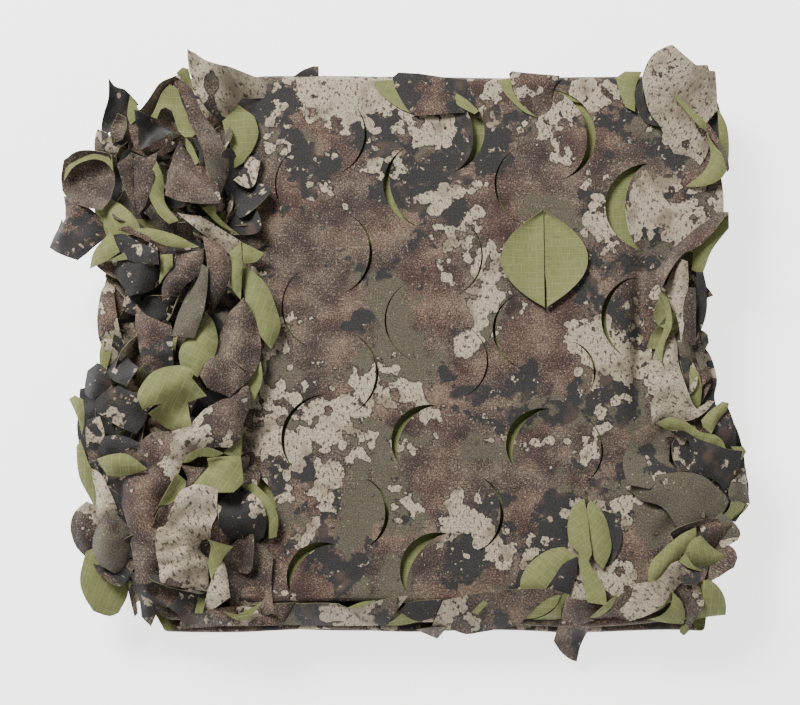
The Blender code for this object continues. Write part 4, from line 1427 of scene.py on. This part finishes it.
RIGHT_FLAPS = (
    # The first row is a shallow hollow cut from the dark print so that it reads near-black: painted shade in a
    # real dip.
    (P, DRK, -2, 3, 200, -78, 53, 211, -72, 53, 219, -78, 48, 223, -92, 44, 221, -105, 42, 213, -117, 42,
     200, -111, 48),
    (P, PAL, 3, 2.4, 178, 194, 69, 194, 182, 66, 202, 183, 65, 203, 179, 64, 207, 179, 63, 209, 155, 58,
     201, 146, 61, 203, 131, 60, 200, 123, 58, 195, 116, 56, 186, 119, 55, 181, 126, 56, 174, 137, 58,
     171, 143, 60, 163, 152, 62, 159, 166, 64, 159, 176, 66, 166, 188, 68),
    (G, MIX, 1, 0.3, 176, 164, 70, 184, 158, 70, 192, 150, 68, 200, 143, 66, 200, 138, 64, 195, 141, 66,
     189, 148, 67, 182, 157, 68),
    (G, MIX, 2, 0.6, 200, 138, 64, 205, 129, 64, 212, 121, 64, 214, 114, 63, 210, 108, 60, 203, 104, 57,
     194, 103, 54, 187, 104, 52, 198, 112, 56, 203, 122, 60, 202, 130, 62),
    (P, BRN, 0, 0.9, 200, 143, 67, 206, 134, 67, 212, 123, 67, 214, 112, 65, 213, 110, 64, 210, 122, 65,
     205, 130, 65, 199, 137, 65),
    (G, MIX, 1, 0.6, 209, 156, 56, 214, 146, 56, 216, 136, 55, 216, 125, 54, 215, 118, 54, 211, 126, 56,
     209, 143, 56),
    (G, MIX, 1, 0.6, 143, 179, 52, 149, 183, 54, 160, 182, 55, 156, 173, 54, 155, 155, 54, 149, 158, 54,
     145, 169, 53),
    (P, DRK, -1, 0.9, 160, 177, 56, 155, 169, 55, 156, 157, 55, 163, 147, 55, 172, 144, 56, 164, 154, 56,
     160, 165, 57),
    (G, MIX, 1, 0.6, 213, 83, 66, 213, 73, 63, 202, 59, 60, 196, 44, 57, 189, 47, 58, 192, 64, 60,
     202, 74, 61, 209, 83, 63),
    (P, BRN, 4, 3, 212, 82, 68, 203, 70, 68, 194, 61, 66, 182, 54, 65, 173, 42, 64, 167, 30, 62,
     162, 38, 57, 171, 52, 56, 180, 64, 57, 196, 77, 58, 208, 84, 61),
    (P, PAL, 3, 2.1, 172, 35, 64, 180, 52, 65, 185, 49, 66, 185, 33, 67, 183, 14, 67, 180, -4, 66,
     178, 14, 65, 174, 22, 65),
    (G, MIX, 1, 0.6, 166, 30, 65, 171, 26, 67, 174, 15, 67, 174, 7, 66, 170, -2, 64, 166, -9, 62,
     163, -9, 61, 169, 5, 63, 171, 17, 64, 169, 25, 64),
    (P, BRN, 5, 1.2, 185, 32, 67, 190, 33, 65, 189, -5, 63, 183, -5, 64, 182, 21, 67),
    (P, DRK, 3, 1.8, 191, 43, 63, 195, 43, 61, 198, 31, 59, 197, 16, 58, 192, 2, 57, 190, 5, 59,
     191, 29, 61),
    (P, PAL, 4, 3, 163, -9, 63, 167, -17, 64, 169, -22, 64, 168, -12, 65, 173, 5, 66, 179, 5, 66,
     178, -12, 65, 181, -28, 64, 185, -40, 63, 189, -46, 62, 196, -42, 64, 199, -43, 64, 192, -50, 62,
     183, -53, 61, 172, -52, 61, 161, -56, 60, 160, -45, 61, 158, -33, 62, 159, -21, 63),
    (G, MIX, 1, 0.5, 172, 5, 68, 169, -3, 67, 167, -17, 66, 163, -10, 65, 167, -2, 66),
    (P, OLV, 3, 1.5, 192, 5, 59, 194, -6, 58, 199, -25, 56, 197, -27, 56, 193, -31, 56, 192, -20, 57,
     190, -11, 58, 189, -3, 59),
    (G, MIX, 2, 0.8, 186, -17, 60, 191, -22, 59, 193, -32, 58, 192, -43, 57, 189, -45, 57, 186, -36, 58,
     185, -27, 59),
    (P, DRK, -1, 1.5, 179, -3, 59, 186, -4, 59, 188, -8, 58, 185, -20, 57, 186, -36, 56, 189, -45, 56,
     182, -27, 58, 179, -11, 59),
    (G, MIX, 4, 0.8, 191, -54, 67, 197, -48, 69, 204, -43, 71, 208, -44, 71, 207, -48, 70, 202, -54, 68,
     197, -63, 65, 192, -58, 65),
    (P, DRK, 1, 1.5, 208, -45, 68, 212, -57, 64, 214, -71, 60, 205, -69, 61, 197, -62, 63, 202, -54, 67),
    (G, MIX, 1, 0.5, 210, -70, 61, 218, -70, 61, 220, -73, 60, 217, -78, 59, 213, -74, 60),
    (G, MIX, 2, 0.8, 162, -56, 65, 171, -53, 69, 181, -56, 70, 190, -62, 70, 199, -64, 70, 204, -68, 69,
     206, -73, 67, 199, -70, 67, 188, -66, 68, 180, -61, 67, 172, -61, 64),
    (P, DRK, 2, 1.2, 171, -61, 63, 180, -61, 67, 188, -66, 68, 199, -70, 67, 206, -73, 67, 216, -74, 63,
     215, -82, 61, 207, -99, 59, 200, -91, 61, 192, -89, 62, 183, -87, 62, 185, -76, 61, 183, -66, 63,
     175, -63, 61),
    (P, OLV, 2, 1, 149, -60, 56, 159, -56, 60, 166, -61, 60, 172, -68, 59, 171, -79, 58, 176, -86, 58,
     166, -91, 57, 158, -97, 56, 144, -94, 54, 142, -78, 54, 146, -67, 54),
    (P, OLV, 2.5, 1, 171, -87, 61, 183, -87, 64, 193, -90, 65, 200, -96, 65, 206, -101, 65, 208, -105, 64,
     205, -111, 62, 196, -118, 59, 189, -122, 58, 178, -125, 56, 166, -108, 54, 153, -103, 54,
     144, -95, 54, 153, -90, 57),
    (P, OLV, 4, 1.5, 214, -84, 58, 220, -83, 56, 221, -93, 53, 223, -105, 46, 217, -104, 53, 209, -104, 57,
     208, -98, 59),
    (G, MIX, 2, 0.6, 210, -104, 57, 216, -104, 54, 223, -105, 46, 219, -110, 46, 207, -119, 48,
     201, -116, 56, 208, -110, 57),
    (P, MIX, 3, 2.4, 189, -121, 60, 198, -115, 60, 205, -120, 58, 209, -119, 57, 208, -126, 53,
     206, -139, 53, 198, -135, 57, 191, -128, 59),
    (G, MIX, 4, 0.8, 179, -137, 61, 182, -130, 62, 189, -127, 62, 198, -135, 59, 205, -139, 56,
     203, -143, 55, 194, -147, 55, 185, -145, 57, 181, -142, 59),
    (G, MIX, 3, 0.8, 155, -156, 61, 157, -145, 63, 164, -137, 64, 176, -127, 64, 186, -122, 63,
     186, -128, 63, 180, -136, 62, 171, -145, 61, 161, -155, 60),
    (G, DRK, 1, 0.6, 175, -143, 61, 179, -138, 62, 185, -146, 60, 194, -150, 57, 181, -147, 60),
    (P, PAL, 4, 3.3, 150, -157, 59, 161, -155, 61, 170, -145, 62, 174, -143, 62, 181, -148, 60,
     194, -150, 57, 190, -153, 56, 177, -156, 56, 170, -164, 55, 163, -172, 54, 156, -176, 52,
     145, -179, 48, 139, -173, 53, 141, -163, 57),
    (G, MIX, 1, 0.5, 156, -175, 54, 164, -168, 56, 171, -162, 56, 169, -168, 55, 163, -173, 53),
    (G, MIX, 2, 0.6, 171, -162, 57, 177, -168, 54, 180, -176, 47, 179, -181, 46, 168, -180, 46,
     156, -178, 47, 164, -176, 52, 170, -170, 55),
    (P, MIX, 3, 1.5, 174, -160, 58, 181, -156, 58, 188, -154, 58, 190, -163, 56, 191, -169, 54,
     187, -177, 45, 184, -182, 39, 181, -181, 41, 181, -172, 47, 178, -166, 54),
    (G, MIX, 1, 0.5, 178, -182, 36, 182, -180, 39, 184, -184, 35, 181, -187, 31, 178, -185, 33),
    (G, MIX, 5, 0.8, 188, -154, 57, 196, -155, 56, 203, -162, 53, 206, -169, 47, 206, -175, 44,
     196, -176, 44, 187, -178, 44, 191, -169, 52, 190, -162, 56),
    # The last four rows are flat cloth laid low under the leaves to close the gaps between them, cut from the
    # dark print so that the gaps read as shade: painted shade.
    (P, DRK, -3, 0.9, 173, -68, 60, 176, -64, 61, 183, -65, 61, 189, -69, 60, 192, -75, 60, 190, -83, 60,
     184, -86, 60, 177, -85, 60, 173, -79, 60),
    (P, DRK, -1, 1.5, 189, 0, 53, 195, 0, 53, 201, -9, 53, 204, -25, 53, 202, -37, 53, 207, -49, 53,
     201, -62, 53, 190, -51, 53, 185, -26, 53),
    (P, DRK, -1, 1.5, 201, -49, 53, 212, -46, 53, 218, -62, 53, 221, -85, 48, 219, -100, 47, 211, -111, 47,
     199, -112, 53, 192, -86, 53, 193, -67, 53),
    (P, DRK, -1, 1.5, 184, 59, 47, 192, 61, 47, 197, 54, 47, 197, 36, 47, 190, 27, 46, 184, 36, 46),
)

PANEL_FLAPS = (
    (G, MIX, 0.6, 0.4, -17, 176, 2, -9, 177, 2, -3, 177, 2, -3, 171, 2, 2, 162, 2, 8, 154, 1.2,
     1, 157, 1.4, -9, 164, 1.4, -15, 171, 1.6),
    (P, DRK, 0.8, 0.6, -5, 179, 4, -1, 182, 4, 9, 181, 3.5, 27, 179, 2.5, 44, 178, 1.6, 49, 163, 1.6,
     53, 151, 2.4, 43, 156, 3, 42, 154, 3, 32, 153, 3.4, 23, 152, 3.4, 10, 152, 3.6, 4, 158, 3.8,
     -1, 167, 4, -4, 175, 4),
    (G, MIX, 0.6, 0.4, 65, 177, 2, 74, 179, 2, 74, 173, 2, 76, 167, 2, 81, 160, 1.6, 90, 152, 1.2,
     83, 155, 1.3, 76, 161, 1.4, 69, 169, 1.6),
    (P, BRN, 0.8, 0.6, 72, 181, 4, 74, 183, 4, 82, 182, 3.5, 92, 181, 3, 106, 180, 2, 101, 170, 1.4,
     102, 154, 1.2, 91, 152, 2, 87, 155, 3, 80, 162, 3.6, 75, 171, 4),
    (G, MIX, 0.5, 0.3, 15, 173, 3.6, 27, 171, 3.4, 36, 168, 3.4, 44, 163, 3.2, 52, 155, 3, 49, 153, 3.2,
     43, 156, 3.6, 35, 161, 4, 25, 167, 4, 19, 170, 4),
    (G, MIX, 1, 0.4, 117, -102, 3, 119, -116, 5, 120, -129, 7, 121, -138, 7, 119, -142, 6, 123, -150, 5.5,
     129, -160, 5, 130, -170, 5, 124, -169, 4, 118, -168, 4, 115, -153, 4.5, 113, -144, 5, 113, -137, 6,
     107, -131, 5.5, 106, -120, 5, 109, -108, 4),
    (G, MIX, 1.5, 0.4, 121, -103, 2, 127, -109, 2.5, 131, -116, 3, 133, -125, 3, 134, -133, 3,
     131, -142, 3, 128, -147, 2.5, 123, -141, 4, 121, -133, 4.5, 119, -120, 4, 118, -110, 3),
    (G, MIX, 2, 0.4, 96, -134, 2, 104, -133, 3, 112, -139, 4, 104, -144, 4.5, 98, -151, 4, 91, -161, 3,
     83, -161, 2, 76, -161, 1.5, 76, -154, 1.5, 80, -146, 1.5, 87, -139, 1.5),
    (P, DRK, 1, 0.4, 112, -139, 3.2, 112, -147, 2.5, 107, -164, 1.5, 100, -162, 1.5, 91, -161, 2,
     96, -154, 3, 103, -144, 3.6),
    (P, DRK, -0.4, 0.3, 127, -109, 1, 136, -111, 1, 140, -119, 1, 141, -127, 1, 138, -137, 1, 132, -145, 1,
     128, -147, 1, 130, -142, 1, 133, -133, 1, 133, -123, 1),
    (G, MIX, 0, 0.2, 95, 176, -1.5, 105, 176, -1.5, 115, 174, -1.5, 123, 169, -1.5, 119, 163, -1.5,
     109, 165, -1.5, 99, 167, -1.5),
)

FRONT_FLAPS = (
    (P, DRK, 1, 0.8, -74, 179, 47, -66, 184, 50, -58, 188, 51, -54, 188, 51, -54, 179, 47),
    (P, BRN, 1, 1.5, -140, -178, 32, -130, -174, 46, -111, -174, 50, -104, -171, 52, -90, -169, 53,
     -65, -168, 53, -74, -181, 38, -102, -181, 34, -118, -181, 33, -138, -182, 30),
    (P, MIX, 1, 1.5, -65, -169, 54, -39, -169, 54, -32, -172, 54, -13, -167, 54, 5, -164, 54, -9, -181, 38,
     -31, -181, 35, -60, -181, 35, -74, -181, 37),
    (G, MIX, 0, 0.3, -34, -172, 56, -24, -168, 56, -15, -167, 56, -24, -171, 55),
    (G, MIX, 0, 0.3, -9, -181, 38, 2, -174, 46, 12, -179, 40, 0, -181, 37),
    (P, DRK, 0, 0.9, 0, -173, 48, 6, -168, 54, 27, -166, 54, 21, -177, 44, 11, -179, 42, 4, -176, 45),
    (P, BRN, 1, 0.9, 10, -183, 30, 21, -182, 36, 30, -182, 36, 24, -188, 20, 16, -185, 24),
    (P, BRN, 1, 1.5, 27, -167, 54, 45, -163, 55, 63, -161, 55, 76, -160, 55, 94, -160, 55, 103, -162, 54,
     88, -170, 47, 79, -177, 40, 76, -181, 36, 50, -185, 31, 42, -186, 31, 32, -183, 35, 20, -182, 38,
     24, -173, 47),
    (G, MIX, 0, 0.3, 45, -174, 49, 52, -167, 53, 58, -162, 56, 61, -164, 56, 55, -169, 52, 49, -175, 49),
    (G, MIX, 1, 0.4, 79, -177, 41, 91, -166, 50, 101, -163, 53, 99, -169, 50, 93, -174, 46, 85, -177, 42),
    (G, MIX, 1, 0.4, 83, -178, 39, 95, -174, 46, 100, -168, 50, 102, -162, 54, 107, -163, 54,
     103, -170, 48, 102, -178, 37, 89, -179, 35),
    (P, BRN, 2, 2.1, 105, -164, 56, 108, -166, 54, 128, -169, 50, 119, -177, 42, 127, -179, 38,
     122, -180, 32, 116, -192, 20, 114, -202, 14, 109, -200, 15, 103, -195, 18, 99, -189, 20,
     100, -184, 28, 102, -179, 37, 103, -171, 48),
    (G, MIX, 1, 0.4, 120, -177, 45, 128, -170, 53, 137, -163, 57, 133, -171, 50, 126, -176, 44),
    (P, BRN, 1, 1.2, 118, -177, 38, 126, -176, 42, 133, -172, 49, 139, -163, 55, 149, -158, 57,
     147, -169, 50, 145, -178, 38, 133, -178, 36),
)


@dataclass
class CutFlaps(LeafGroup):
    """Leaves drawn by their own cut edges, as they lie seen from above.

    A row is the leaf's face, patch, crown and crumple, and then its edge's corners as x, y and height.
    The crown is how far its middle stands over a skin stretched across the edge.
    """

    over: FoldedPacket | None = None  # where it is given, heights count from its top layer
    step: float = 3.3  # between the mesh's points
    sharp: float = 38.0  # where the edge turns by more than this, it stays a corner
    folds: int = 3  # straight creases in a leaf
    span: float = 18.0  # a larger leaf is creased no deeper than one of this radius

    def edge(self, corners: list) -> list:
        """The cut edge, smooth between its sharp corners.

        Args:
            corners: its corners in turn.

        Returns:
            Its points, counter-clockwise.
        """
        area = sum(a.x * b.y - b.x * a.y for a, b in zip(corners, corners[1:] + corners[:1]))
        corners = corners if area > 0 else corners[::-1]
        ways = []
        for before, spot, after in zip(corners[-1:] + corners, corners, corners[1:] + corners[:1]):
            turn = (spot - before).xy.angle((after - spot).xy, 0.0)
            ways.append(None if turn > math.radians(self.sharp) else (after - before).normalized())
        points = []
        for i, start in enumerate(corners):
            after = (i + 1) % len(corners)
            span = corners[after] - start
            leave, arrive = (way * span.length if way else span for way in (ways[i], ways[after]))
            count = max(1, round(span.length / self.step))
            for t in (k / count for k in range(count)):
                near, far = t * (1 - t) ** 2, t * t * (t - 1)
                points.append(start + span * (t * t * (3 - 2 * t)) + leave * near + arrive * far)
        return points

    def skin(self, spot: Vector, edge: list) -> tuple:
        """A skin stretched across the edge, by mean value weights.

        Args:
            spot: a flat place on or inside the edge.
            edge: the edge's points.

        Returns:
            The height there, and the distance to the edge.
        """
        rays = [point.xy - spot for point in edge]
        nearest = min(range(len(rays)), key=lambda i: rays[i].length)
        if rays[nearest].length < 0.02:
            return edge[nearest].z, 0.0
        halves = [math.tan(a.angle_signed(b, 0.0) / 2) for a, b in zip(rays, rays[1:] + rays[:1])]
        weights = [(halves[i - 1] + halves[i]) / ray.length for i, ray in enumerate(rays)]
        height = sum(w * point.z for w, point in zip(weights, edge)) / sum(weights)
        return height, rays[nearest].length

    def add(self, bm: Mesh, row: tuple, number: int) -> None:
        """Adds one leaf.

        Args:
            bm: the group's mesh.
            row: the leaf's row.
            number: its place in the group.
        """
        face, own_patch, crown, crumple, *numbers = row
        draw = random.Random(self.seed * 1000 + number)
        turn = Matrix.Rotation(draw.uniform(-math.pi, math.pi), 2)
        offset = Vector((draw.uniform(0, 3000), draw.uniform(0, 3000)))
        edge = self.edge([Vector(numbers[i : i + 3]) for i in range(0, len(numbers), 3)])
        middle = sum(edge, Vector()).xy / len(edge)
        size = max((point.xy - middle).length for point in edge)
        creases = self.creases(draw, self.folds, 0.4, size, (0.08, 0.26))
        made, _ = fill_outline(bm, [point.xy for point in edge], [], len(edge), self.step)
        flat, patch = (bm.verts.layers.float_vector[name] for name in ("flat", "patch"))
        skins = {v: self.skin(v.co.xy, edge) for v in {v for f in made for v in f.verts}}
        deepest = max(inside for _, inside in skins.values()) or 1.0
        for vert, (z, inside) in skins.items():
            spot = vert.co.xy
            u, v = turn @ (spot - middle)
            z += crown * (1 - (1 - inside / deepest) ** 2)
            z += crumple * (0.8 * wander(200 + number, u / 15, v / 13))
            z += crumple * 2.0 * (0.25 - abs(wander(300 + number, u / 22, v / 12)))
            for way, distance, slope in creases:
                away = u * math.cos(way) + v * math.sin(way) - distance
                depth = math.sqrt(away * away + 0.8) - 0.4 * size
                z += slope * crumple * depth * min(1.0, self.span / size)
            if self.over:
                z += self.over.layer_z(self.over.layers - 1, spot.x, spot.y)
            vert[flat] = (turn @ spot + offset).to_3d() * MM
            vert[patch] = own_patch.value
            vert.co.z = min(TALLEST, max(z, CLOTH))
        if face is Face.GREEN:
            bmesh.ops.reverse_faces(bm, faces=made)


@dataclass
class RoundLeaf:
    """Two half leaves, folded out green side up on the panel, that meet on their middle line."""

    packet: FoldedPacket
    x: float = 94.0
    y: float = 54.9
    length: float = 65.5
    width: float = 56.5
    rise: float = 1.2
    edge_lift: float = 3.0
    crest: float = 1.6  # height of the fold along the left half's straight side
    split: float = -6.0  # below this the halves part
    part: float = 0.9  # how far they part
    steps: int = 18

    def build(self, materials: list) -> Piece:
        """Builds both halves.

        Args:
            materials: the printed face, the green face and the cut edge.

        Returns:
            The finished piece.
        """
        bm = new_bmesh()
        flat = bm.verts.layers.float_vector["flat"]
        for side in (-1, 1):
            right = side > 0
            grid = bmesh.ops.create_grid(bm, x_segments=self.steps // 2, y_segments=self.steps, size=1.0)
            for vert in grid["verts"]:
                across, up = (vert.co.x + 1) / 2, vert.co.y
                y = up * self.length / 2
                half = self.width / 2 * max(0.02, 1 - up * up)
                gap = 0.25 + (self.part * ease((self.split - y) / 14) if right else 0.0)
                x = side * (gap + (half - gap) * across)
                vert[flat] = Vector((x + side * 40 + 200, y + 900 + 1.3 * side, 0)) * MM
                crest = self.crest * math.exp(-((across * half) ** 2) / 30) * (0.4 if right else 1)
                lift = self.rise + crest + self.edge_lift * across**2.2 + 0.5 * wander(71, x / 14, y / 18)
                lift += (0.7 if right else 0.0) * ease((self.split - y) / 10)
                vert.co = self.packet.top_point(self.x + x, self.y + y) + Vector((0, 0, lift))
            faces = list({f for v in grid["verts"] for f in v.link_faces})
            bmesh.ops.recalc_face_normals(bm, faces=faces)
            if sum(f.normal.z for f in faces) > 0:
                bmesh.ops.reverse_faces(bm, faces=faces)
        return finish_cloth("round_leaf", bm, materials)


@dataclass
class EdgeLeaves:
    """The leaves along both edges of each layer, which fan out of the packet's sides."""

    packet: FoldedPacket
    pitch: float = 31.0  # from one leaf to the next along an edge
    front: float = -158.0  # where an edge's first leaf may lie
    run: float = 318.0  # how long the edges are
    clear: tuple = (6, -118.0)  # from this layer up, none lies further forward, and none on the right
    crumple: float = 1.6
    seed: int = 5
    forms: tuple = (DISC, BLADE, FLAP, SCALE, DISC, SHARD)

    def spread(self) -> tuple:
        """Places the leaves by seeded chance around each layer's edge."""
        draw = random.Random(self.seed)
        packet, rows = self.packet, []
        edges = [(layer, side) for layer in range(packet.layers - 1) for side in (-1, 1)]
        for layer, side in edges:
            for i in range(int(self.run / self.pitch)):
                y = self.front + (i + draw.uniform(0.2, 0.8)) * self.pitch
                if layer >= self.clear[0] and (side > 0 or y < self.clear[1]):
                    continue
                length, width = draw.uniform(28, 42), draw.uniform(20, 32)
                heading = (0 if side > 0 else 180) + draw.uniform(-40, 40)
                x = packet.side_x(layer, y, side) - side * (length / 2 - draw.uniform(-1, 5))
                base = packet.smooth_z(layer, x - side * length / 2, y) + draw.uniform(-1, 2)
                rise = draw.uniform(-5, 7) if layer > 1 else draw.uniform(0, 5)
                face = G if (layer % 2 == 0) != (draw.random() < 0.3) else P
                roll, bend, cup = draw.uniform(-24, 24), draw.uniform(6, 40), draw.uniform(-50, 40)
                looks = (face, draw.choice((MIX, BRN, DRK, PAL, OLV)), draw.choice(self.forms), self.crumple)
                rows.append(Leaf(x, y, length, width, heading, base, rise, roll, bend, cup, *looks))
        return tuple(rows)


@dataclass
class UnderLeaves:
    """Crumpled cloth of the gathered sides, which stands up steeply under the listed leaves."""

    packet: FoldedPacket
    crumple: float = 2.4
    seed: int = 11
    counts: tuple = (84, 20)  # left and right
    heaps: tuple = ((-80.0, -135.0, 22.0), (148.0, 178.0, 9.0))  # from, to, height over the flat panel
    inner: tuple = (104, 178)  # how near the middle they lie
    front: float = -152.0
    backs: tuple = (140.0, 48.0)  # how far back they lie
    forms: tuple = (FLAP, SHARD, SCALE, BLADE, FLAP, CORNER)

    def spread(self) -> tuple:
        """Places the pieces by seeded chance over both gathered sides."""
        draw = random.Random(self.seed)
        top, rows = self.packet.layers - 1, []
        tables = (self.packet.left_side, self.packet.right_side)
        for side, table, nearest, back, heap, count in zip(
            (-1, 1), tables, self.inner, self.backs, self.heaps, self.counts
        ):
            start, full, height = heap
            for i in range(count):
                y = self.front + (back - self.front) * (i + draw.random()) / count
                x = side * draw.uniform(nearest, abs(along(table, y)) - 11)
                heading = (180 if side < 0 else 0) + draw.uniform(-130, 130)
                length, width = draw.uniform(16, 34), draw.uniform(26, 42)
                base = self.packet.smooth_z(top, x, y) + draw.uniform(-6, 2)
                rise = draw.uniform(0.15, 0.6) * height * ease((x - start) / (full - start))
                roll, bend = draw.uniform(-30, 30), draw.uniform(0, 40)
                cup = draw.choice((-1, 1)) * draw.uniform(20, 60)
                face = G if draw.random() < 0.08 else P
                # Dark print is drawn twice as often here and pale never, so the cloth deep under the leaves
                # reads darker: painted shade.
                looks = (face, draw.choice((MIX, BRN, DRK, DRK, OLV)), draw.choice(self.forms), self.crumple)
                rows.append(Leaf(x, y, length, width, heading, base, rise, roll, bend, cup, *looks))
        return tuple(rows)


# ---------------------------------------------------------------- the studio


@dataclass
class Studio:
    """Plain pale floor, soft light and the camera of the photograph."""

    aim: tuple = (0.0, -7.0, 52.0)
    elevation: float = 78.0
    view_width: float = 516.0
    lens: float = 100.0
    sensor: float = 36.0
    clip_end: float = 20.0  # in metres
    floor_size: float = 14000.0
    surround: float = 0.2  # the even white light from all sides
    lights: tuple = (  # name, place and side in metres, and watts
        ("key", (-0.75, 0.85, 1.5), 0.7, 62.0),
        ("fill", (1.2, -0.7, 1.5), 1.6, 10.0),
    )

    def add_floor(self) -> None:
        """Adds the floor."""
        bm = bmesh.new()
        bmesh.ops.create_grid(bm, x_segments=2, y_segments=2, size=self.floor_size / 2 * MM)
        mesh = bpy.data.meshes.new("floor")
        bm.to_mesh(mesh)
        bm.free()
        mesh.materials.append(FloorPaint().material())
        floor = bpy.data.objects.new("floor", mesh)
        bpy.context.scene.collection.objects.link(floor)
        floor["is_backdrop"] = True

    def add_light(self, name: str, place: tuple, size: float, energy: float) -> None:
        """Adds a soft square light that looks at the packet.

        Args:
            name: the light's name.
            place: where it hangs, in metres.
            size: its side, in metres.
            energy: its power in watts.
        """
        light = bpy.data.lights.new(name, "AREA")
        light.size = size
        light.energy = energy
        lamp = bpy.data.objects.new(name, light)
        lamp.location = place
        lamp.rotation_euler = Vector(place).to_track_quat("Z", "Y").to_euler()
        bpy.context.scene.collection.objects.link(lamp)

    def add_sky(self) -> None:
        """Adds the even white surround."""
        world = bpy.data.worlds.new("surround")
        world.use_nodes = True
        light = world.node_tree.nodes["Background"]
        plug(world.node_tree, light, {"Color": WHITE, "Strength": self.surround})
        bpy.context.scene.world = world

    def add_camera(self) -> None:
        """Adds the camera, which looks down from a little in front of the packet."""
        camera = bpy.data.cameras.new("camera")
        camera.lens = self.lens
        camera.sensor_width = self.sensor
        camera.clip_end = self.clip_end
        distance = self.view_width * self.lens / self.sensor * MM
        eye = bpy.data.objects.new("camera", camera)
        rise = math.radians(self.elevation)
        back = Vector((0, -math.cos(rise), math.sin(rise)))
        eye.location = Vector(self.aim) * MM + back * distance
        eye.rotation_euler = back.to_track_quat("Z", "Y").to_euler()
        bpy.context.scene.collection.objects.link(eye)
        bpy.context.scene.camera = eye

    def build(self) -> None:
        """Adds the floor, the lights and the camera."""
        self.add_floor()
        self.add_sky()
        for light in self.lights:
            self.add_light(*light)
        self.add_camera()


def main() -> None:
    logging.basicConfig(level=logging.INFO, format="%(name)s %(message)s")
    Studio().build()
    materials = [PrintedFace().material(), GreenFace().material(), CutEdge().material()]
    packet = FoldedPacket()
    net = packet.build(materials)
    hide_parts("net")
    groups = (
        CutFlaps("left_leaves", LEFT_FLAPS, 1),
        CutFlaps("right_leaves", RIGHT_FLAPS, 2),
        CutFlaps("panel_leaves", PANEL_FLAPS, 7, over=packet),
        CutFlaps("fold_leaves", FRONT_FLAPS, 8),
        CutLeaves("edge_leaves", EdgeLeaves(packet).spread(), 4),
        CutLeaves("under_leaves", UnderLeaves(packet).spread(), 6, steps_along=14, steps_across=10),
    )
    leaves = [group.build(materials) for group in groups] + [RoundLeaf(packet).build(materials)]
    boxes = {"cad": CAD_BOX, "visual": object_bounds()}
    {name: [list(corner) for corner in box] for name, box in boxes.items()}


if __name__ == "__main__":
    main()
